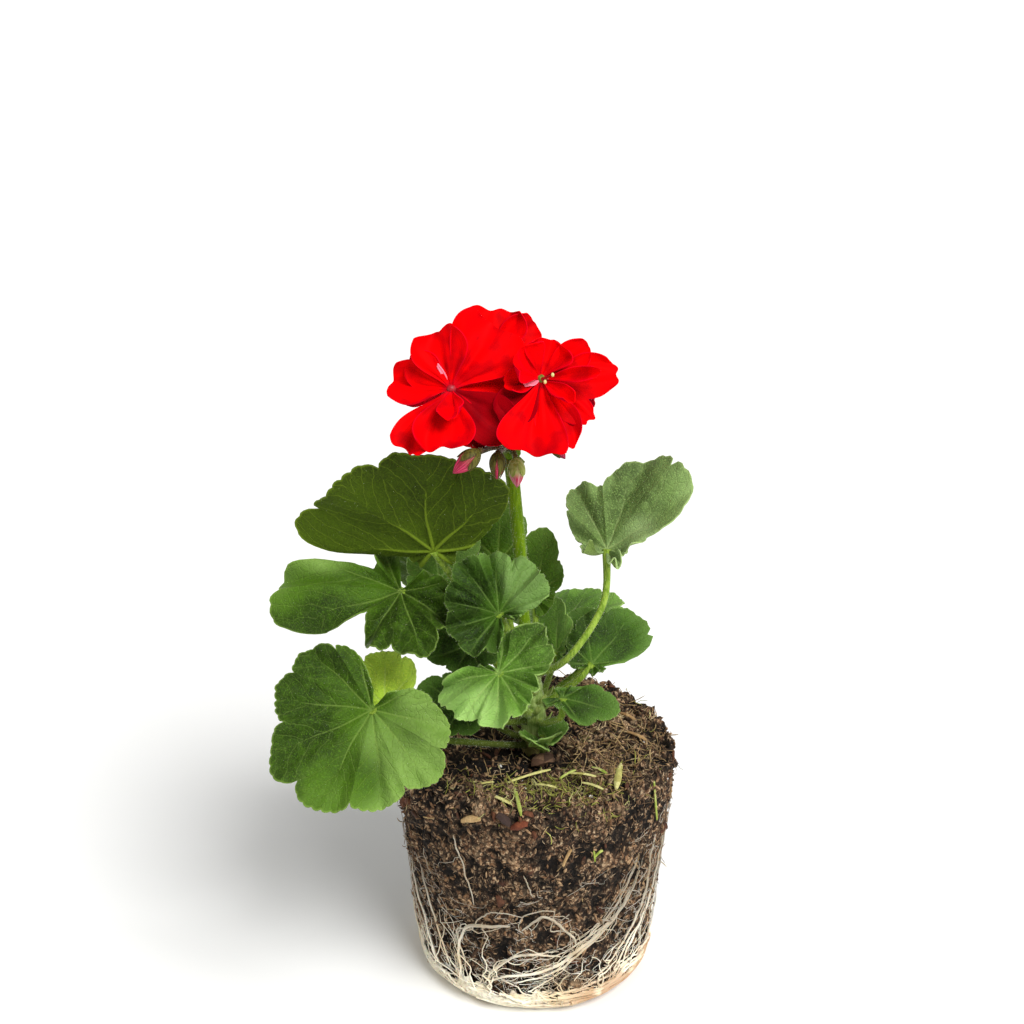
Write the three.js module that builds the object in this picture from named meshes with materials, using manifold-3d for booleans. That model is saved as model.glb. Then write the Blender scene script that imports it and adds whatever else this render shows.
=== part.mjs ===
// A young zonal pelargonium with its bare, pot-shaped root ball: leaves, stems and one
// head of red flowers. Millimetres, +Z up, the origin at the middle of the ball's flat bottom.
import * as THREE from 'three';
import { mergeVertices } from 'three/addons/utils/BufferGeometryUtils.js';
import Module from 'manifold-3d';

const wasm = await Module();
wasm.setup();

// Root ball, as moulded by its nursery pot
const ballHeight = 92;
const ballTopRadius = 52.5;
const ballBottomRadius = 43;
const bottomRounding = 8;
const rimRounding = 4;
const topDish = 4;
const crumbRelief = 0.7;
const ballSides = 44;
const wallHeights = [2.5, 5.5, 8, 21, 34, 47, 60, 73];
const dishShares = [0.8, 0.5, 0.25];
const topWaves = 1.3;
const holeSides = 16;

// Net of roots lying against the lower half of the ball
const touchGap = 0.3;
const matWidth = 1.8;
const matSides = 30;
const matHeights = [1.2, 4, 10];
const matStandOff = 0.6;
const matSlope = 0.5;
const rootRadius = 0.8;
const rootCount = 15;
const rootSeed = 5;
const rootSteps = 6;
const rootStart = 6;
const leastClimb = 13;
const moreClimb = 34;
const rootLean = 1.7;

// Stem, leaf stalks and flower stalk
const stemHeight = 126;
const stemDepth = 78;
const stemFootRadius = 5.5;
const stemTipRadius = 3.2;
const stemLean = -3;
const stemSwelling = 0.35;
const stemRingPace = 0.9;
const stemRings = 12;
const stalkRadius = 1.25;
const stalkFootLength = 2.5;
const stalkFootRise = 0.8;
const flowerStalkRadius = 2.2;
const flowerStalkBends = [[-4.5, -2, 142], [-5.5, -3, 165]];
const straightFoot = 5;
const umbelAt = new THREE.Vector3(-9, 1, 203);
const knobRadius = 3.4;
const pedicelRadius = 0.9;
const pedicelArch = 1.5;

// Blades and petals
const bladeThickness = 0.9;
const petalThickness = 0.8;
const stepsPerLobe = 4;
const smallStepsPerLobe = 3;
const lobeCut = 0.12;
const funnelShare = 0.25;
const pleatDepth = 0.03;
const bladeRings = [0.3, 0.7, 1];
const smallBladeRings = [0.45, 1];
const largeReach = 28;
const petalRows = 4;
const petalColumns = 4;
const hiddenPetalColumns = 2;
const petalsBehind = 5;
const petalBehind = { width: 0.82, lift: 18, stagger: 14, curl: -18, cup: 0.1 };
const petalShape = { widest: 0.6, claw: 0.12, narrowing: 0.4, roundness: 0.13, notch: 0.04, ruffle: 0.05 };
const hubRadius = 2.2;
const budFoot = 1.2;
const budFullness = 0.28;
const budShares = [0.08, 0.25, 0.45, 0.65, 0.85];

const colours = {
  soil: '#4a3426',
  root: '#cdbd9c',
  stem: '#86a84e',
  stalk: '#7fa441',
  leaf: '#4d7d38',
  youngLeaf: '#86a94a',
  petal: '#e00010',
  bud: '#7d8a3e',
};

const rad = THREE.MathUtils.degToRad;
const weldDistance = 1e-4;
const small = 1e-3;
const innermost = 0.02;

// Repeatable random numbers from 0 to 1
function seeded(seed) {
  let state = seed;
  return () => {
    state = (state * 1664525 + 1013904223) % 4294967296;
    return state / 4294967296;
  };
}

// A closed geometry as a solid that can be joined and cut
function toSolid(geometry) {
  const bare = geometry.clone();
  bare.deleteAttribute('normal');
  bare.deleteAttribute('uv');
  const merged = mergeVertices(bare, weldDistance);
  const vertProperties = new Float32Array(merged.getAttribute('position').array);
  const triVerts = new Uint32Array(merged.getIndex().array);
  return new wasm.Manifold(new wasm.Mesh({ numProp: 3, vertProperties, triVerts }));
}

function toGeometry(solid) {
  const mesh = solid.getMesh();
  const geometry = new THREE.BufferGeometry();
  geometry.setAttribute('position', new THREE.BufferAttribute(new Float32Array(mesh.vertProperties), 3));
  geometry.setIndex(new THREE.BufferAttribute(new Uint32Array(mesh.triVerts), 1));
  return geometry;
}

function joined(geometries) {
  return toGeometry(geometries.map(toSolid).reduce((whole, piece) => whole.add(piece)));
}

function finished(name, geometry, colour) {
  geometry.computeVertexNormals();
  const material = new THREE.MeshStandardMaterial({ color: colour, roughness: 0.7, metalness: 0 });
  const mesh = new THREE.Mesh(geometry, material);
  mesh.name = name;
  return mesh;
}

// A round rod of even thickness along a smooth line through the points
function rod(points, radius, sides, steps) {
  const outline = new THREE.Shape();
  for (let i = 0; i < sides; i += 1) {
    const turn = (i / sides) * 2 * Math.PI;
    const corner = [radius * Math.cos(turn), radius * Math.sin(turn)];
    if (i === 0) outline.moveTo(...corner);
    else outline.lineTo(...corner);
  }
  const path = new THREE.CatmullRomCurve3(points, false, 'centripetal');
  return new THREE.ExtrudeGeometry(outline, { steps, bevelEnabled: false, extrudePath: path });
}

// A sheet as a closed solid, both faces split alike. Its first row may shrink to one point.
function thickSheet(surface, rows, columns, thickness) {
  const pointed = rows[0] === 0;
  const width = columns.length;
  const normalAt = (u, v) => {
    const inner = Math.max(u, innermost);
    const along = surface(inner + small, v).sub(surface(inner - small, v));
    const across = surface(inner, v + small).sub(surface(inner, v - small));
    return along.cross(across).normalize();
  };
  const middle = columns[Math.floor(width / 2)];
  const positions = [];
  for (const side of [0.5, -0.5]) {
    for (const u of rows) {
      for (const v of columns) {
        const normal = pointed && u === 0 ? normalAt(0, middle) : normalAt(u, v);
        const point = surface(u, v).addScaledVector(normal, side * thickness);
        positions.push(point.x, point.y, point.z);
      }
    }
  }
  const lower = rows.length * width;
  const at = (i, j) => (pointed && i === 0 ? 0 : i * width + j);
  const index = [];
  for (let i = 0; i < rows.length - 1; i += 1) {
    for (let j = 0; j < width - 1; j += 1) {
      const corners = [at(i, j), at(i + 1, j), at(i + 1, j + 1), at(i, j + 1)];
      const [a, b, c, d] = corners;
      index.push(a, b, c, lower + a, lower + c, lower + b);
      if (a !== d) index.push(a, c, d, lower + a, lower + d, lower + c);
    }
  }
  const rim = [];
  const last = rows.length - 1;
  for (let j = 0; j < width - 1; j += 1) if (!pointed) rim.push(at(0, j));
  for (let i = 0; i < last; i += 1) rim.push(at(i, width - 1));
  for (let j = width - 1; j > 0; j -= 1) rim.push(at(last, j));
  for (let i = last; i > 0; i -= 1) rim.push(at(i, 0));
  for (let k = 0; k < rim.length; k += 1) {
    const a = rim[k];
    const b = rim[(k + 1) % rim.length];
    index.push(a, b, lower + b, a, lower + b, lower + a);
  }
  const geometry = new THREE.BufferGeometry();
  geometry.setAttribute('position', new THREE.BufferAttribute(new Float32Array(positions), 3));
  geometry.setIndex(index);
  return geometry;
}

function evenly(from, to, steps) {
  return Array.from({ length: steps + 1 }, (_, i) => from + ((to - from) * i) / steps);
}

// The middle of the stem and its radius at a height
function stemAt(z) {
  const rise = (z - stemDepth) / (stemHeight - stemDepth);
  const centre = new THREE.Vector3(stemLean * rise * rise, 0, z);
  const radius = stemFootRadius + (stemTipRadius - stemFootRadius) * rise;
  return { centre, radius };
}

// How the leaves stand, seen from the front: at is the junction of blade and stalk, heading,
// pitch and roll turn the midrib, reach is the blade's edge in even steps from one side of
// the gap round to the other, and the stalk bends through two points and joins the stem
const leaves = [
  {
    name: 'leaf_front_left_low',
    at: [-55, -46, 128.7], heading: -133, pitch: -48, roll: -30, span: 158, lobes: 9,
    reach: [6, 22, 29, 31, 31, 38, 36, 33, 31, 32, 26, 19, 9],
    cup: 0.14, wave: 0.03, waves: 5, phase: 40,
    folds: [{ toward: -90, start: 14, length: 18, angle: -22 }],
    stalk: [[-49, -38, 116], [-22, -17, 99]], joins: 90,
  },
  {
    name: 'leaf_left_middle',
    at: [-46.6, -18, 159], heading: -123, pitch: -35, roll: -21, span: 150, lobes: 7,
    reach: [22, 18, 13, 39, 43, 17, 23, 25, 26, 22, 17, 16, 11],
    cup: 0.12, wave: 0.05, waves: 3, phase: 0,
    folds: [{ toward: -60, start: 16, length: 20, angle: -30 }],
    stalk: [[-41, -8, 148], [-19, 1, 128]], joins: 113,
  },
  {
    name: 'leaf_left_upright',
    at: [-34.9, -20, 175.2], heading: -115, pitch: 74, roll: 19, span: 158, lobes: 7,
    reach: [7, 8, 15, 48, 40, 40, 36, 37, 35, 17, 9, 8, 7],
    cup: 0.05, wave: 0.03, waves: 4, phase: 60,
    folds: [{ toward: 180, start: 2, length: 7, angle: 70 }],
    stalk: [[-29, -15, 163], [-13, -7, 140]], joins: 118,
  },
  {
    name: 'leaf_centre_dark',
    at: [-12.9, -30, 156.2], heading: 142, pitch: 37, roll: -37, span: 158, lobes: 9,
    reach: [5, 8, 18, 20, 20, 21, 22, 19, 18, 18, 17, 14, 6],
    cup: 0.16, wave: 0.04, waves: 4, phase: 0,
    folds: [],
    stalk: [[-10, -27, 148], [-5, -17, 126]], joins: 112,
  },
  {
    name: 'leaf_front_bright',
    at: [-12.9, -38, 138.2], heading: -50, pitch: -36, roll: 19, span: 158, lobes: 9,
    reach: [5, 8, 19, 20, 18, 19, 16, 15, 14, 21, 22, 15, 6],
    cup: 0.18, wave: 0.1, waves: 3, phase: 20,
    folds: [
      { toward: 100, start: 5, length: 6, angle: 32 },
      { toward: -75, start: 8, length: 6, angle: -45 },
    ],
    stalk: [[-12, -33, 130], [-5, -16, 114]], joins: 104,
  },
  {
    name: 'leaf_left_young',
    at: [-52.6, -26, 119.4], heading: 96, pitch: 60, roll: -5, span: 158, lobes: 7,
    reach: [9, 9, 9, 9, 14, 19, 18, 18, 10, 9, 9, 9, 9],
    cup: 0.1, wave: 0.04, waves: 3, phase: 0,
    folds: [],
    stalk: [[-44, -22, 112], [-20, -9, 104]], joins: 93,
  },
  {
    name: 'leaf_right_low',
    at: [20, -8, 126], heading: 49, pitch: 26, roll: 38, span: 158, lobes: 7,
    reach: [4, 4, 4, 5, 7, 26, 25, 21, 17, 13, 10, 9, 7],
    cup: 0.1, wave: 0.03, waves: 3, phase: 0,
    folds: [],
    stalk: [[16, -9, 121], [9, -5, 113]], joins: 108,
  },
  {
    name: 'leaf_right_shade',
    at: [19, 8, 120.5], heading: 100, pitch: 54, roll: -9, span: 150, lobes: 7,
    reach: [5, 6, 8, 12, 16, 18, 18, 17, 14, 11, 8, 6, 5],
    cup: 0.1, wave: 0.03, waves: 3, phase: 0,
    folds: [],
    stalk: [[16, 7, 115], [8, 4, 109]], joins: 104,
  },
  {
    name: 'leaf_right_ground',
    at: [9.3, -20, 118.8], heading: -15, pitch: -9, roll: 29, span: 158, lobes: 7,
    reach: [8, 6, 5, 5, 10, 16, 20, 15, 7, 5, 4, 4, 4],
    cup: 0.1, wave: 0.04, waves: 3, phase: 0,
    folds: [],
    stalk: [[9, -20, 112], [6, -12, 105]], joins: 100,
  },
  {
    name: 'leaf_right_tall',
    at: [24.5, -5, 169.2], heading: 59, pitch: 39, roll: 7, span: 158, lobes: 7,
    reach: [10, 10, 7, 10, 27, 39, 31, 22, 24, 15, 8, 10, 10],
    cup: 0.3, wave: 0.04, waves: 3, phase: 0,
    folds: [{ toward: 180, start: 2, length: 5, angle: 45 }],
    stalk: [[23.4, -10, 151], [11.5, -16, 133]], joins: 120,
  },
  {
    name: 'leaf_right_small',
    at: [7.5, 3, 125], heading: 82, pitch: 47, roll: -43, span: 158, lobes: 7,
    reach: [6, 6, 6, 6, 10, 15, 20, 18, 7, 6, 6, 6, 6],
    cup: 0.1, wave: 0.03, waves: 3, phase: 0,
    folds: [],
    stalk: [[8, 2.5, 121.5], [7, 2, 119.5]], joins: 118,
  },
  {
    name: 'leaf_shade_front',
    at: [-25.9, -24, 118.5], heading: -170, pitch: -12, roll: -49, span: 158, lobes: 7,
    reach: [10, 10, 11, 12, 15, 17, 15, 13, 12, 11, 11, 12, 11],
    cup: 0.1, wave: 0.03, waves: 3, phase: 0,
    folds: [],
    stalk: [[-23, -20, 111], [-11, -11, 104]], joins: 100,
  },
  {
    name: 'leaf_shade_middle',
    at: [-23.3, -12, 135.5], heading: -126, pitch: -44, roll: -27, span: 158, lobes: 7,
    reach: [9, 10, 12, 16, 16, 13, 11, 10, 11, 11, 12, 12, 9],
    cup: 0.1, wave: 0.03, waves: 3, phase: 0,
    folds: [],
    stalk: [[-20, -8, 128], [-11, -4, 114]], joins: 108,
  },
  {
    name: 'leaf_pale_behind',
    at: [-34.4, 6, 152.5], heading: 123, pitch: 67, roll: -30, span: 158, lobes: 7,
    reach: [10, 10, 10, 16, 21, 23, 20, 16, 13, 12, 11, 10, 10],
    cup: 0.1, wave: 0.03, waves: 3, phase: 0,
    folds: [],
    stalk: [[-29, 9, 143], [-12, 8, 122]], joins: 108,
  },
  {
    name: 'leaf_behind_centre',
    at: [-13.5, 13, 157], heading: 91, pitch: 70, roll: -1, span: 158, lobes: 7,
    reach: [8, 8, 6, 7, 12, 20, 22, 20, 16, 11, 9, 8, 8],
    cup: 0.1, wave: 0.03, waves: 3, phase: 0,
    folds: [],
    stalk: [[-12, 11, 148], [-8, 8, 128]], joins: 118,
  },
  {
    name: 'leaf_behind_right',
    at: [-1, 14, 142.5], heading: 59, pitch: 67, roll: 29, span: 158, lobes: 7,
    reach: [8, 8, 8, 8, 12, 17, 25, 20, 10, 8, 8, 8, 8],
    cup: 0.1, wave: 0.03, waves: 3, phase: 0,
    folds: [],
    stalk: [[0, 13, 136], [0, 9, 124]], joins: 116,
  },
  {
    name: 'leaf_back_left',
    at: [-34, 36, 138], heading: 140, pitch: 12, roll: 14, span: 156, lobes: 9,
    reach: [10, 20, 25, 28, 29, 30, 31, 30, 29, 28, 25, 20, 10],
    cup: 0.14, wave: 0.05, waves: 3, phase: 0,
    folds: [],
    stalk: [[-30, 30, 130], [-12, 11, 112]], joins: 103,
  },
  {
    name: 'leaf_back_right',
    at: [9, 35, 121], heading: 58, pitch: -4, roll: -10, span: 156, lobes: 9,
    reach: [9, 18, 23, 26, 27, 28, 28, 28, 27, 26, 23, 18, 9],
    cup: 0.14, wave: 0.05, waves: 3, phase: 90,
    folds: [],
    stalk: [[9, 31, 114], [4, 11, 106]], joins: 102,
  },
  {
    name: 'leaf_back_ground',
    at: [-14, 36, 111], heading: 112, pitch: -6, roll: 8, span: 156, lobes: 7,
    reach: [7, 13, 17, 19, 20, 20, 21, 20, 20, 19, 17, 13, 7],
    cup: 0.12, wave: 0.05, waves: 3, phase: 30,
    folds: [],
    stalk: [[-13, 32, 105], [-4, 12, 99]], joins: 94,
  },
];

// The blade's edge: lobes and fine teeth cut into an outline that runs through its reaches
function edgeRadius(leaf, angle) {
  const span = rad(leaf.span);
  const last = leaf.reach.length - 1;
  const place = THREE.MathUtils.clamp(((angle + span) / (2 * span)) * last, 0, last);
  const before = Math.min(Math.floor(place), last - 1);
  const share = THREE.MathUtils.smoothstep(place - before, 0, 1);
  const reach = THREE.MathUtils.lerp(leaf.reach[before], leaf.reach[before + 1], share);
  const lobe = Math.abs(Math.cos((angle * Math.PI * leaf.lobes) / (2 * span)));
  return reach * (1.02 - lobeCut * (1 - Math.sqrt(lobe)));
}

// Rolls a point of the sheet up or down beyond a straight line across it
function folded(point, fold) {
  const toward = rad(fold.toward);
  const angle = rad(fold.angle);
  const [nx, ny] = [Math.cos(toward), Math.sin(toward)];
  const past = point.x * nx + point.y * ny - fold.start;
  if (past <= 0) return point;
  const curved = Math.min(past, fold.length);
  const turned = (angle * curved) / fold.length;
  const radius = fold.length / angle;
  const straight = Math.max(past - fold.length, 0);
  const along = radius * Math.sin(turned) + straight * Math.cos(turned) - point.z * Math.sin(turned);
  const up = radius * (1 - Math.cos(turned)) + straight * Math.sin(turned) + point.z * Math.cos(turned);
  return new THREE.Vector3(point.x + (along - past) * nx, point.y + (along - past) * ny, up);
}

function bladePoint(leaf, share, angle) {
  const size = Math.max(...leaf.reach);
  const radius = share * edgeRadius(leaf, angle);
  const step = (2 * rad(leaf.span)) / leaf.lobes;
  const funnel = leaf.cup * radius * Math.min(1, radius / (funnelShare * size));
  const wave = leaf.wave * size * share * share * Math.sin(leaf.waves * angle + rad(leaf.phase));
  const pleat = pleatDepth * size * share * (0.5 - Math.abs(Math.cos((Math.PI * angle) / step)));
  const flat = new THREE.Vector3(radius * Math.cos(angle), radius * Math.sin(angle), funnel + wave + pleat);
  return leaf.folds.reduce(folded, flat);
}

// One leaf: its blade and stalk in one piece, the stalk ending clear of the stem
function makeLeaf(leaf) {
  const span = rad(leaf.span);
  const surface = (share, angle) => bladePoint(leaf, share, angle);
  const large = Math.max(...leaf.reach) > largeReach;
  const rows = [0, ...(large ? bladeRings : smallBladeRings)];
  const columns = evenly(-span, span, leaf.lobes * (large ? stepsPerLobe : smallStepsPerLobe));
  const blade = thickSheet(surface, rows, columns, bladeThickness);
  const holder = new THREE.Object3D();
  holder.position.set(...leaf.at);
  holder.rotation.set(rad(leaf.roll), rad(-leaf.pitch), rad(leaf.heading), 'ZYX');
  holder.updateMatrixWorld();
  const { centre, radius } = stemAt(leaf.joins);
  const [first, second] = leaf.stalk.map((p) => new THREE.Vector3(...p));
  const outward = second.clone().sub(centre).setZ(0).normalize();
  const foot = centre.clone().addScaledVector(outward, radius + touchGap);
  const near = foot.clone().addScaledVector(outward, stalkFootLength);
  near.z += stalkFootRise;
  const route = [new THREE.Vector3(...leaf.at), first, second, near, foot].map((p) => holder.worldToLocal(p));
  const stalk = rod(route, stalkRadius, 5, 7);
  const mesh = finished(leaf.name, joined([blade, stalk]), colours.leaf);
  mesh.position.copy(holder.position);
  mesh.rotation.copy(holder.rotation);
  return mesh;
}

// Florets: petals as heading, pitch, roll, length, width, curl along and cup across.
// The three in front are set petal by petal, the ones behind by their facing alone.
const florets = [
  {
    name: 'floret_left',
    at: [-28.1, -22, 232.2],
    petals: [
      { turn: [129, 68, -57], size: [20, 20], curl: -10, cup: 0.15 },
      { turn: [16, 50, 72], size: [26, 26], curl: -12, cup: 0.08 },
      { turn: [14, -2, 60], size: [24, 24], curl: -10, cup: 0.1 },
      { turn: [155, -1, -60], size: [22, 15], curl: 10, cup: 0.1 },
      { turn: [144, 23, -74], size: [18, 13], curl: 10, cup: 0.1 },
      { turn: [-147, -49, -30], size: [26, 15], curl: 15, cup: 0.1 },
      { turn: [-100, -50, -7], size: [23, 20], curl: 15, cup: 0.15 },
      { turn: [-23, -56, 52], size: [22, 15], curl: 10, cup: 0.1 },
    ],
  },
  {
    name: 'floret_top',
    at: [-16.5, -4, 234.7],
    petals: [
      { turn: [76, 71, 13], size: [20, 24], curl: -15, cup: 0.1 },
      { turn: [37, 33, 78], size: [23, 16], curl: 0, cup: 0.1 },
      { turn: [149, 35, -72], size: [18, 18], curl: 0, cup: 0.1 },
      { turn: [88, 24, 0], size: [19, 18], curl: -20, cup: 0.1 },
      { turn: [10, 12, 0], size: [16, 15], curl: -20, cup: 0.1 },
    ],
  },
  {
    name: 'floret_right',
    at: [0.8, -20, 234.9],
    petals: [
      { turn: [-174, 41, -56], size: [14, 16], curl: 35, cup: 0.3 },
      { turn: [68, 56, 28], size: [13, 16], curl: 20, cup: 0.3 },
      { turn: [24, 28, 62], size: [19, 11], curl: 10, cup: 0.1 },
      { turn: [15, -1, 70], size: [25, 15], curl: 15, cup: 0.1 },
      { turn: [-17, -41, 41], size: [21, 12], curl: 10, cup: 0.1 },
      { turn: [-54, -57, 22], size: [25, 15], curl: 15, cup: 0.1 },
      { turn: [-103, -48, -16], size: [28, 23], curl: 12, cup: 0.12 },
      { turn: [-168, -8, -50], size: [11, 9], curl: 20, cup: 0.3 },
    ],
  },
  { name: 'floret_back_right', at: [8, 14, 224], facing: [46, 6], length: 15 },
  { name: 'floret_back_left', at: [-32, 11, 225], facing: [140, 8], length: 16 },
  { name: 'floret_back', at: [-13, 25, 228], facing: [96, 24], length: 16 },
];

const buds = [
  { name: 'bud_left', at: [-19.3, -35, 215.3], facing: [-160, -36], length: 11 },
  { name: 'bud_middle', at: [-13, -31, 213.5], facing: [-95, -62], length: 9 },
  { name: 'bud_hanging', at: [-7.2, -13, 205], facing: [-80, -78], length: 10 },
  { name: 'bud_right', at: [5, -3, 208], facing: [-20, -50], length: 8 },
  { name: 'bud_back', at: [-12, 13, 205], facing: [95, -45], length: 9 },
];

// A petal narrow at its base, broad and round at its end, curled along and cupped across
function petalPoint(petal, along, across) {
  const [length, width] = petal.size;
  const { widest, claw, narrowing, roundness } = petalShape;
  const swell = Math.sin((Math.PI / 2) * Math.min(1, along / widest));
  const beyond = Math.max(0, along - widest) / (1 - widest);
  const half = (width / 2) * (claw + (1 - claw) * swell ** 1.4) * (1 - narrowing * beyond ** 2);
  const notch = petalShape.notch * Math.exp(-((across / 0.25) ** 2)) * along ** 6;
  const x = length * (0.04 + 0.96 * along - roundness * across * across * along * along - notch);
  const ruffle = petalShape.ruffle * width * along * along * Math.sin(3.2 * across + petal.turn[0]);
  const bowl = petal.cup * width * across * across * swell + ruffle;
  const angle = rad(petal.curl) * along;
  const rise = x * Math.sin(angle / 2) + bowl * Math.cos(angle);
  return new THREE.Vector3(x * Math.cos(angle / 2) - bowl * Math.sin(angle), across * half, rise);
}

function turned(geometry, [heading, pitch, roll]) {
  const turn = new THREE.Euler(rad(roll), rad(-pitch), rad(heading), 'ZYX');
  return geometry.applyMatrix4(new THREE.Matrix4().makeRotationFromEuler(turn));
}

function makeFloret(floret) {
  const { width, lift, stagger, curl, cup } = petalBehind;
  const behind = evenly(0, petalsBehind - 1, petalsBehind - 1).map((i) => ({
    turn: [(i * 360) / petalsBehind, lift + stagger * (i % 2), stagger * (i % 2)],
    size: [floret.length, floret.length * width],
    curl,
    cup,
  }));
  const columns = evenly(-1, 1, floret.petals ? petalColumns : hiddenPetalColumns);
  const petals = (floret.petals || behind).map((petal) => {
    const surface = (along, across) => petalPoint(petal, along, across);
    const sheet = thickSheet(surface, evenly(0.01, 1, petalRows), columns, petalThickness);
    return turned(sheet, petal.turn);
  });
  const hub = new THREE.SphereGeometry(hubRadius, 8, 6);
  const mesh = finished(floret.name, joined([hub, ...petals]), colours.petal);
  mesh.position.set(...floret.at);
  if (floret.facing) {
    const [heading, up] = floret.facing;
    mesh.rotation.set(0, rad(90 - up), rad(heading), 'ZYX');
  }
  return mesh;
}

// A bud: an egg with a drawn-out tip, pointing along its facing
function makeBud(bud) {
  const profile = [new THREE.Vector2(0, -budFoot)];
  for (const share of budShares) {
    const radius = budFullness * bud.length * Math.sin(Math.PI * share ** 0.8);
    profile.push(new THREE.Vector2(radius, bud.length * share));
  }
  profile.push(new THREE.Vector2(0, bud.length));
  const lathe = new THREE.LatheGeometry(profile, 8);
  lathe.rotateX(Math.PI / 2);
  const mesh = finished(bud.name, toGeometry(toSolid(lathe)), colours.bud);
  const [heading, pitch] = bud.facing;
  mesh.position.set(...bud.at);
  mesh.rotation.set(0, rad(90 - pitch), rad(heading), 'ZYX');
  return mesh;
}

// Short stalks that fan out from the top of the flower stalk and stop short of what they hold
function makeUmbel() {
  const knob = new THREE.SphereGeometry(knobRadius, 10, 8);
  knob.translate(...umbelAt);
  const stalkTo = (at, clearance) => {
    const end = new THREE.Vector3(...at);
    const stop = end.clone().sub(end.clone().sub(umbelAt).setLength(clearance));
    const middle = umbelAt.clone().lerp(stop, 0.5);
    middle.z += pedicelArch;
    return rod([umbelAt.clone(), middle, stop], pedicelRadius, 5, 3);
  };
  const toFlorets = florets.map((floret) => stalkTo(floret.at, hubRadius + touchGap));
  const toBuds = buds.map((bud) => stalkTo(bud.at, budFoot + touchGap));
  return finished('umbel_stalks', joined([knob, ...toFlorets, ...toBuds]), colours.stalk);
}

function makeFlowerStalk() {
  const foot = stemAt(stemHeight).centre.add(new THREE.Vector3(0, 0, touchGap));
  const top = umbelAt.clone().add(new THREE.Vector3(0, 0, -knobRadius - touchGap));
  const upright = new THREE.Vector3(foot.x, foot.y, foot.z + straightFoot);
  const bends = flowerStalkBends.map((bend) => new THREE.Vector3(...bend));
  const stalk = rod([foot, upright, ...bends, top], flowerStalkRadius, 8, 14);
  return finished('flower_stalk', toGeometry(toSolid(stalk)), colours.stalk);
}

// The root ball's radius at a height, before its crumbly relief
function ballRadius(z) {
  const slope = (ballTopRadius - ballBottomRadius) / ballHeight;
  const wall = ballBottomRadius + slope * z;
  const low = Math.max(0, 1 - z / bottomRounding);
  const high = Math.max(0, (z - (ballHeight - rimRounding)) / rimRounding);
  return wall - bottomRounding * (1 - Math.sqrt(1 - low * low)) - rimRounding * (1 - Math.sqrt(1 - high * high));
}

// Crumbs and dents of the soil, the same wherever they are asked for
function crumb(turn, z) {
  const coarse = Math.sin(5 * turn + 0.11 * z) + Math.sin(9 * turn - 0.17 * z + 1.3);
  const fine = Math.sin(17 * turn + 0.31 * z + 0.6) * Math.sin(0.42 * z + 3 * turn);
  return crumbRelief * (0.3 * coarse + 0.4 * fine);
}

// Soil: a lathed ball pushed in and out by the crumbs, with a plain hole for the stem
function makeSoil() {
  const profile = [new THREE.Vector2(0, 0), new THREE.Vector2(ballRadius(0), 0)];
  for (const z of [...wallHeights, ballHeight - rimRounding]) {
    profile.push(new THREE.Vector2(ballRadius(z), z));
  }
  profile.push(new THREE.Vector2(ballRadius(ballHeight - 1), ballHeight - 1));
  for (const share of dishShares) {
    const sunk = topDish * (1 - share * share);
    profile.push(new THREE.Vector2(ballTopRadius * share, ballHeight - sunk));
  }
  profile.push(new THREE.Vector2(0, ballHeight - topDish));
  const lathe = new THREE.LatheGeometry(profile, ballSides);
  lathe.rotateX(Math.PI / 2);
  const position = lathe.getAttribute('position');
  const topFrom = ballHeight - topDish - small;
  const topWithin = ballTopRadius * 0.9;
  for (let i = 0; i < position.count; i += 1) {
    const [x, y, z] = [position.getX(i), position.getY(i), position.getZ(i)];
    const radius = Math.hypot(x, y);
    const turn = Math.atan2(y, x);
    if (z > topFrom && radius > small && radius < topWithin) {
      position.setZ(i, z + topWaves * Math.sin(4 * turn + radius / 6) * Math.sin(radius / 9));
    } else if (z > 0 && radius > small) {
      const grown = (radius + crumb(turn, z)) / radius;
      position.setXY(i, x * grown, y * grown);
    }
  }
  const holeRadius = stemFootRadius + touchGap;
  const holeDepth = ballHeight - stemDepth + touchGap;
  const hole = new THREE.CylinderGeometry(holeRadius, holeRadius, 2 * holeDepth, holeSides);
  hole.rotateX(Math.PI / 2);
  hole.translate(0, 0, ballHeight);
  return finished('soil_ball', toGeometry(toSolid(lathe).subtract(toSolid(hole))), colours.soil);
}

// A root that starts in the matted ring and wanders up over the ball, to and fro
function rootLine(random, startTurn, climb, lean) {
  const points = [];
  const swing = 0.06 + 0.12 * random();
  const start = 6 * random();
  for (const share of evenly(0, 1, rootSteps)) {
    const z = rootStart + climb * share;
    const turn = startTurn + lean * share + swing * Math.sin(start + 7 * share);
    const out = ballRadius(z) + crumbRelief + touchGap + rootRadius;
    points.push(new THREE.Vector3(out * Math.cos(turn), out * Math.sin(turn), z));
  }
  return points;
}

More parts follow.
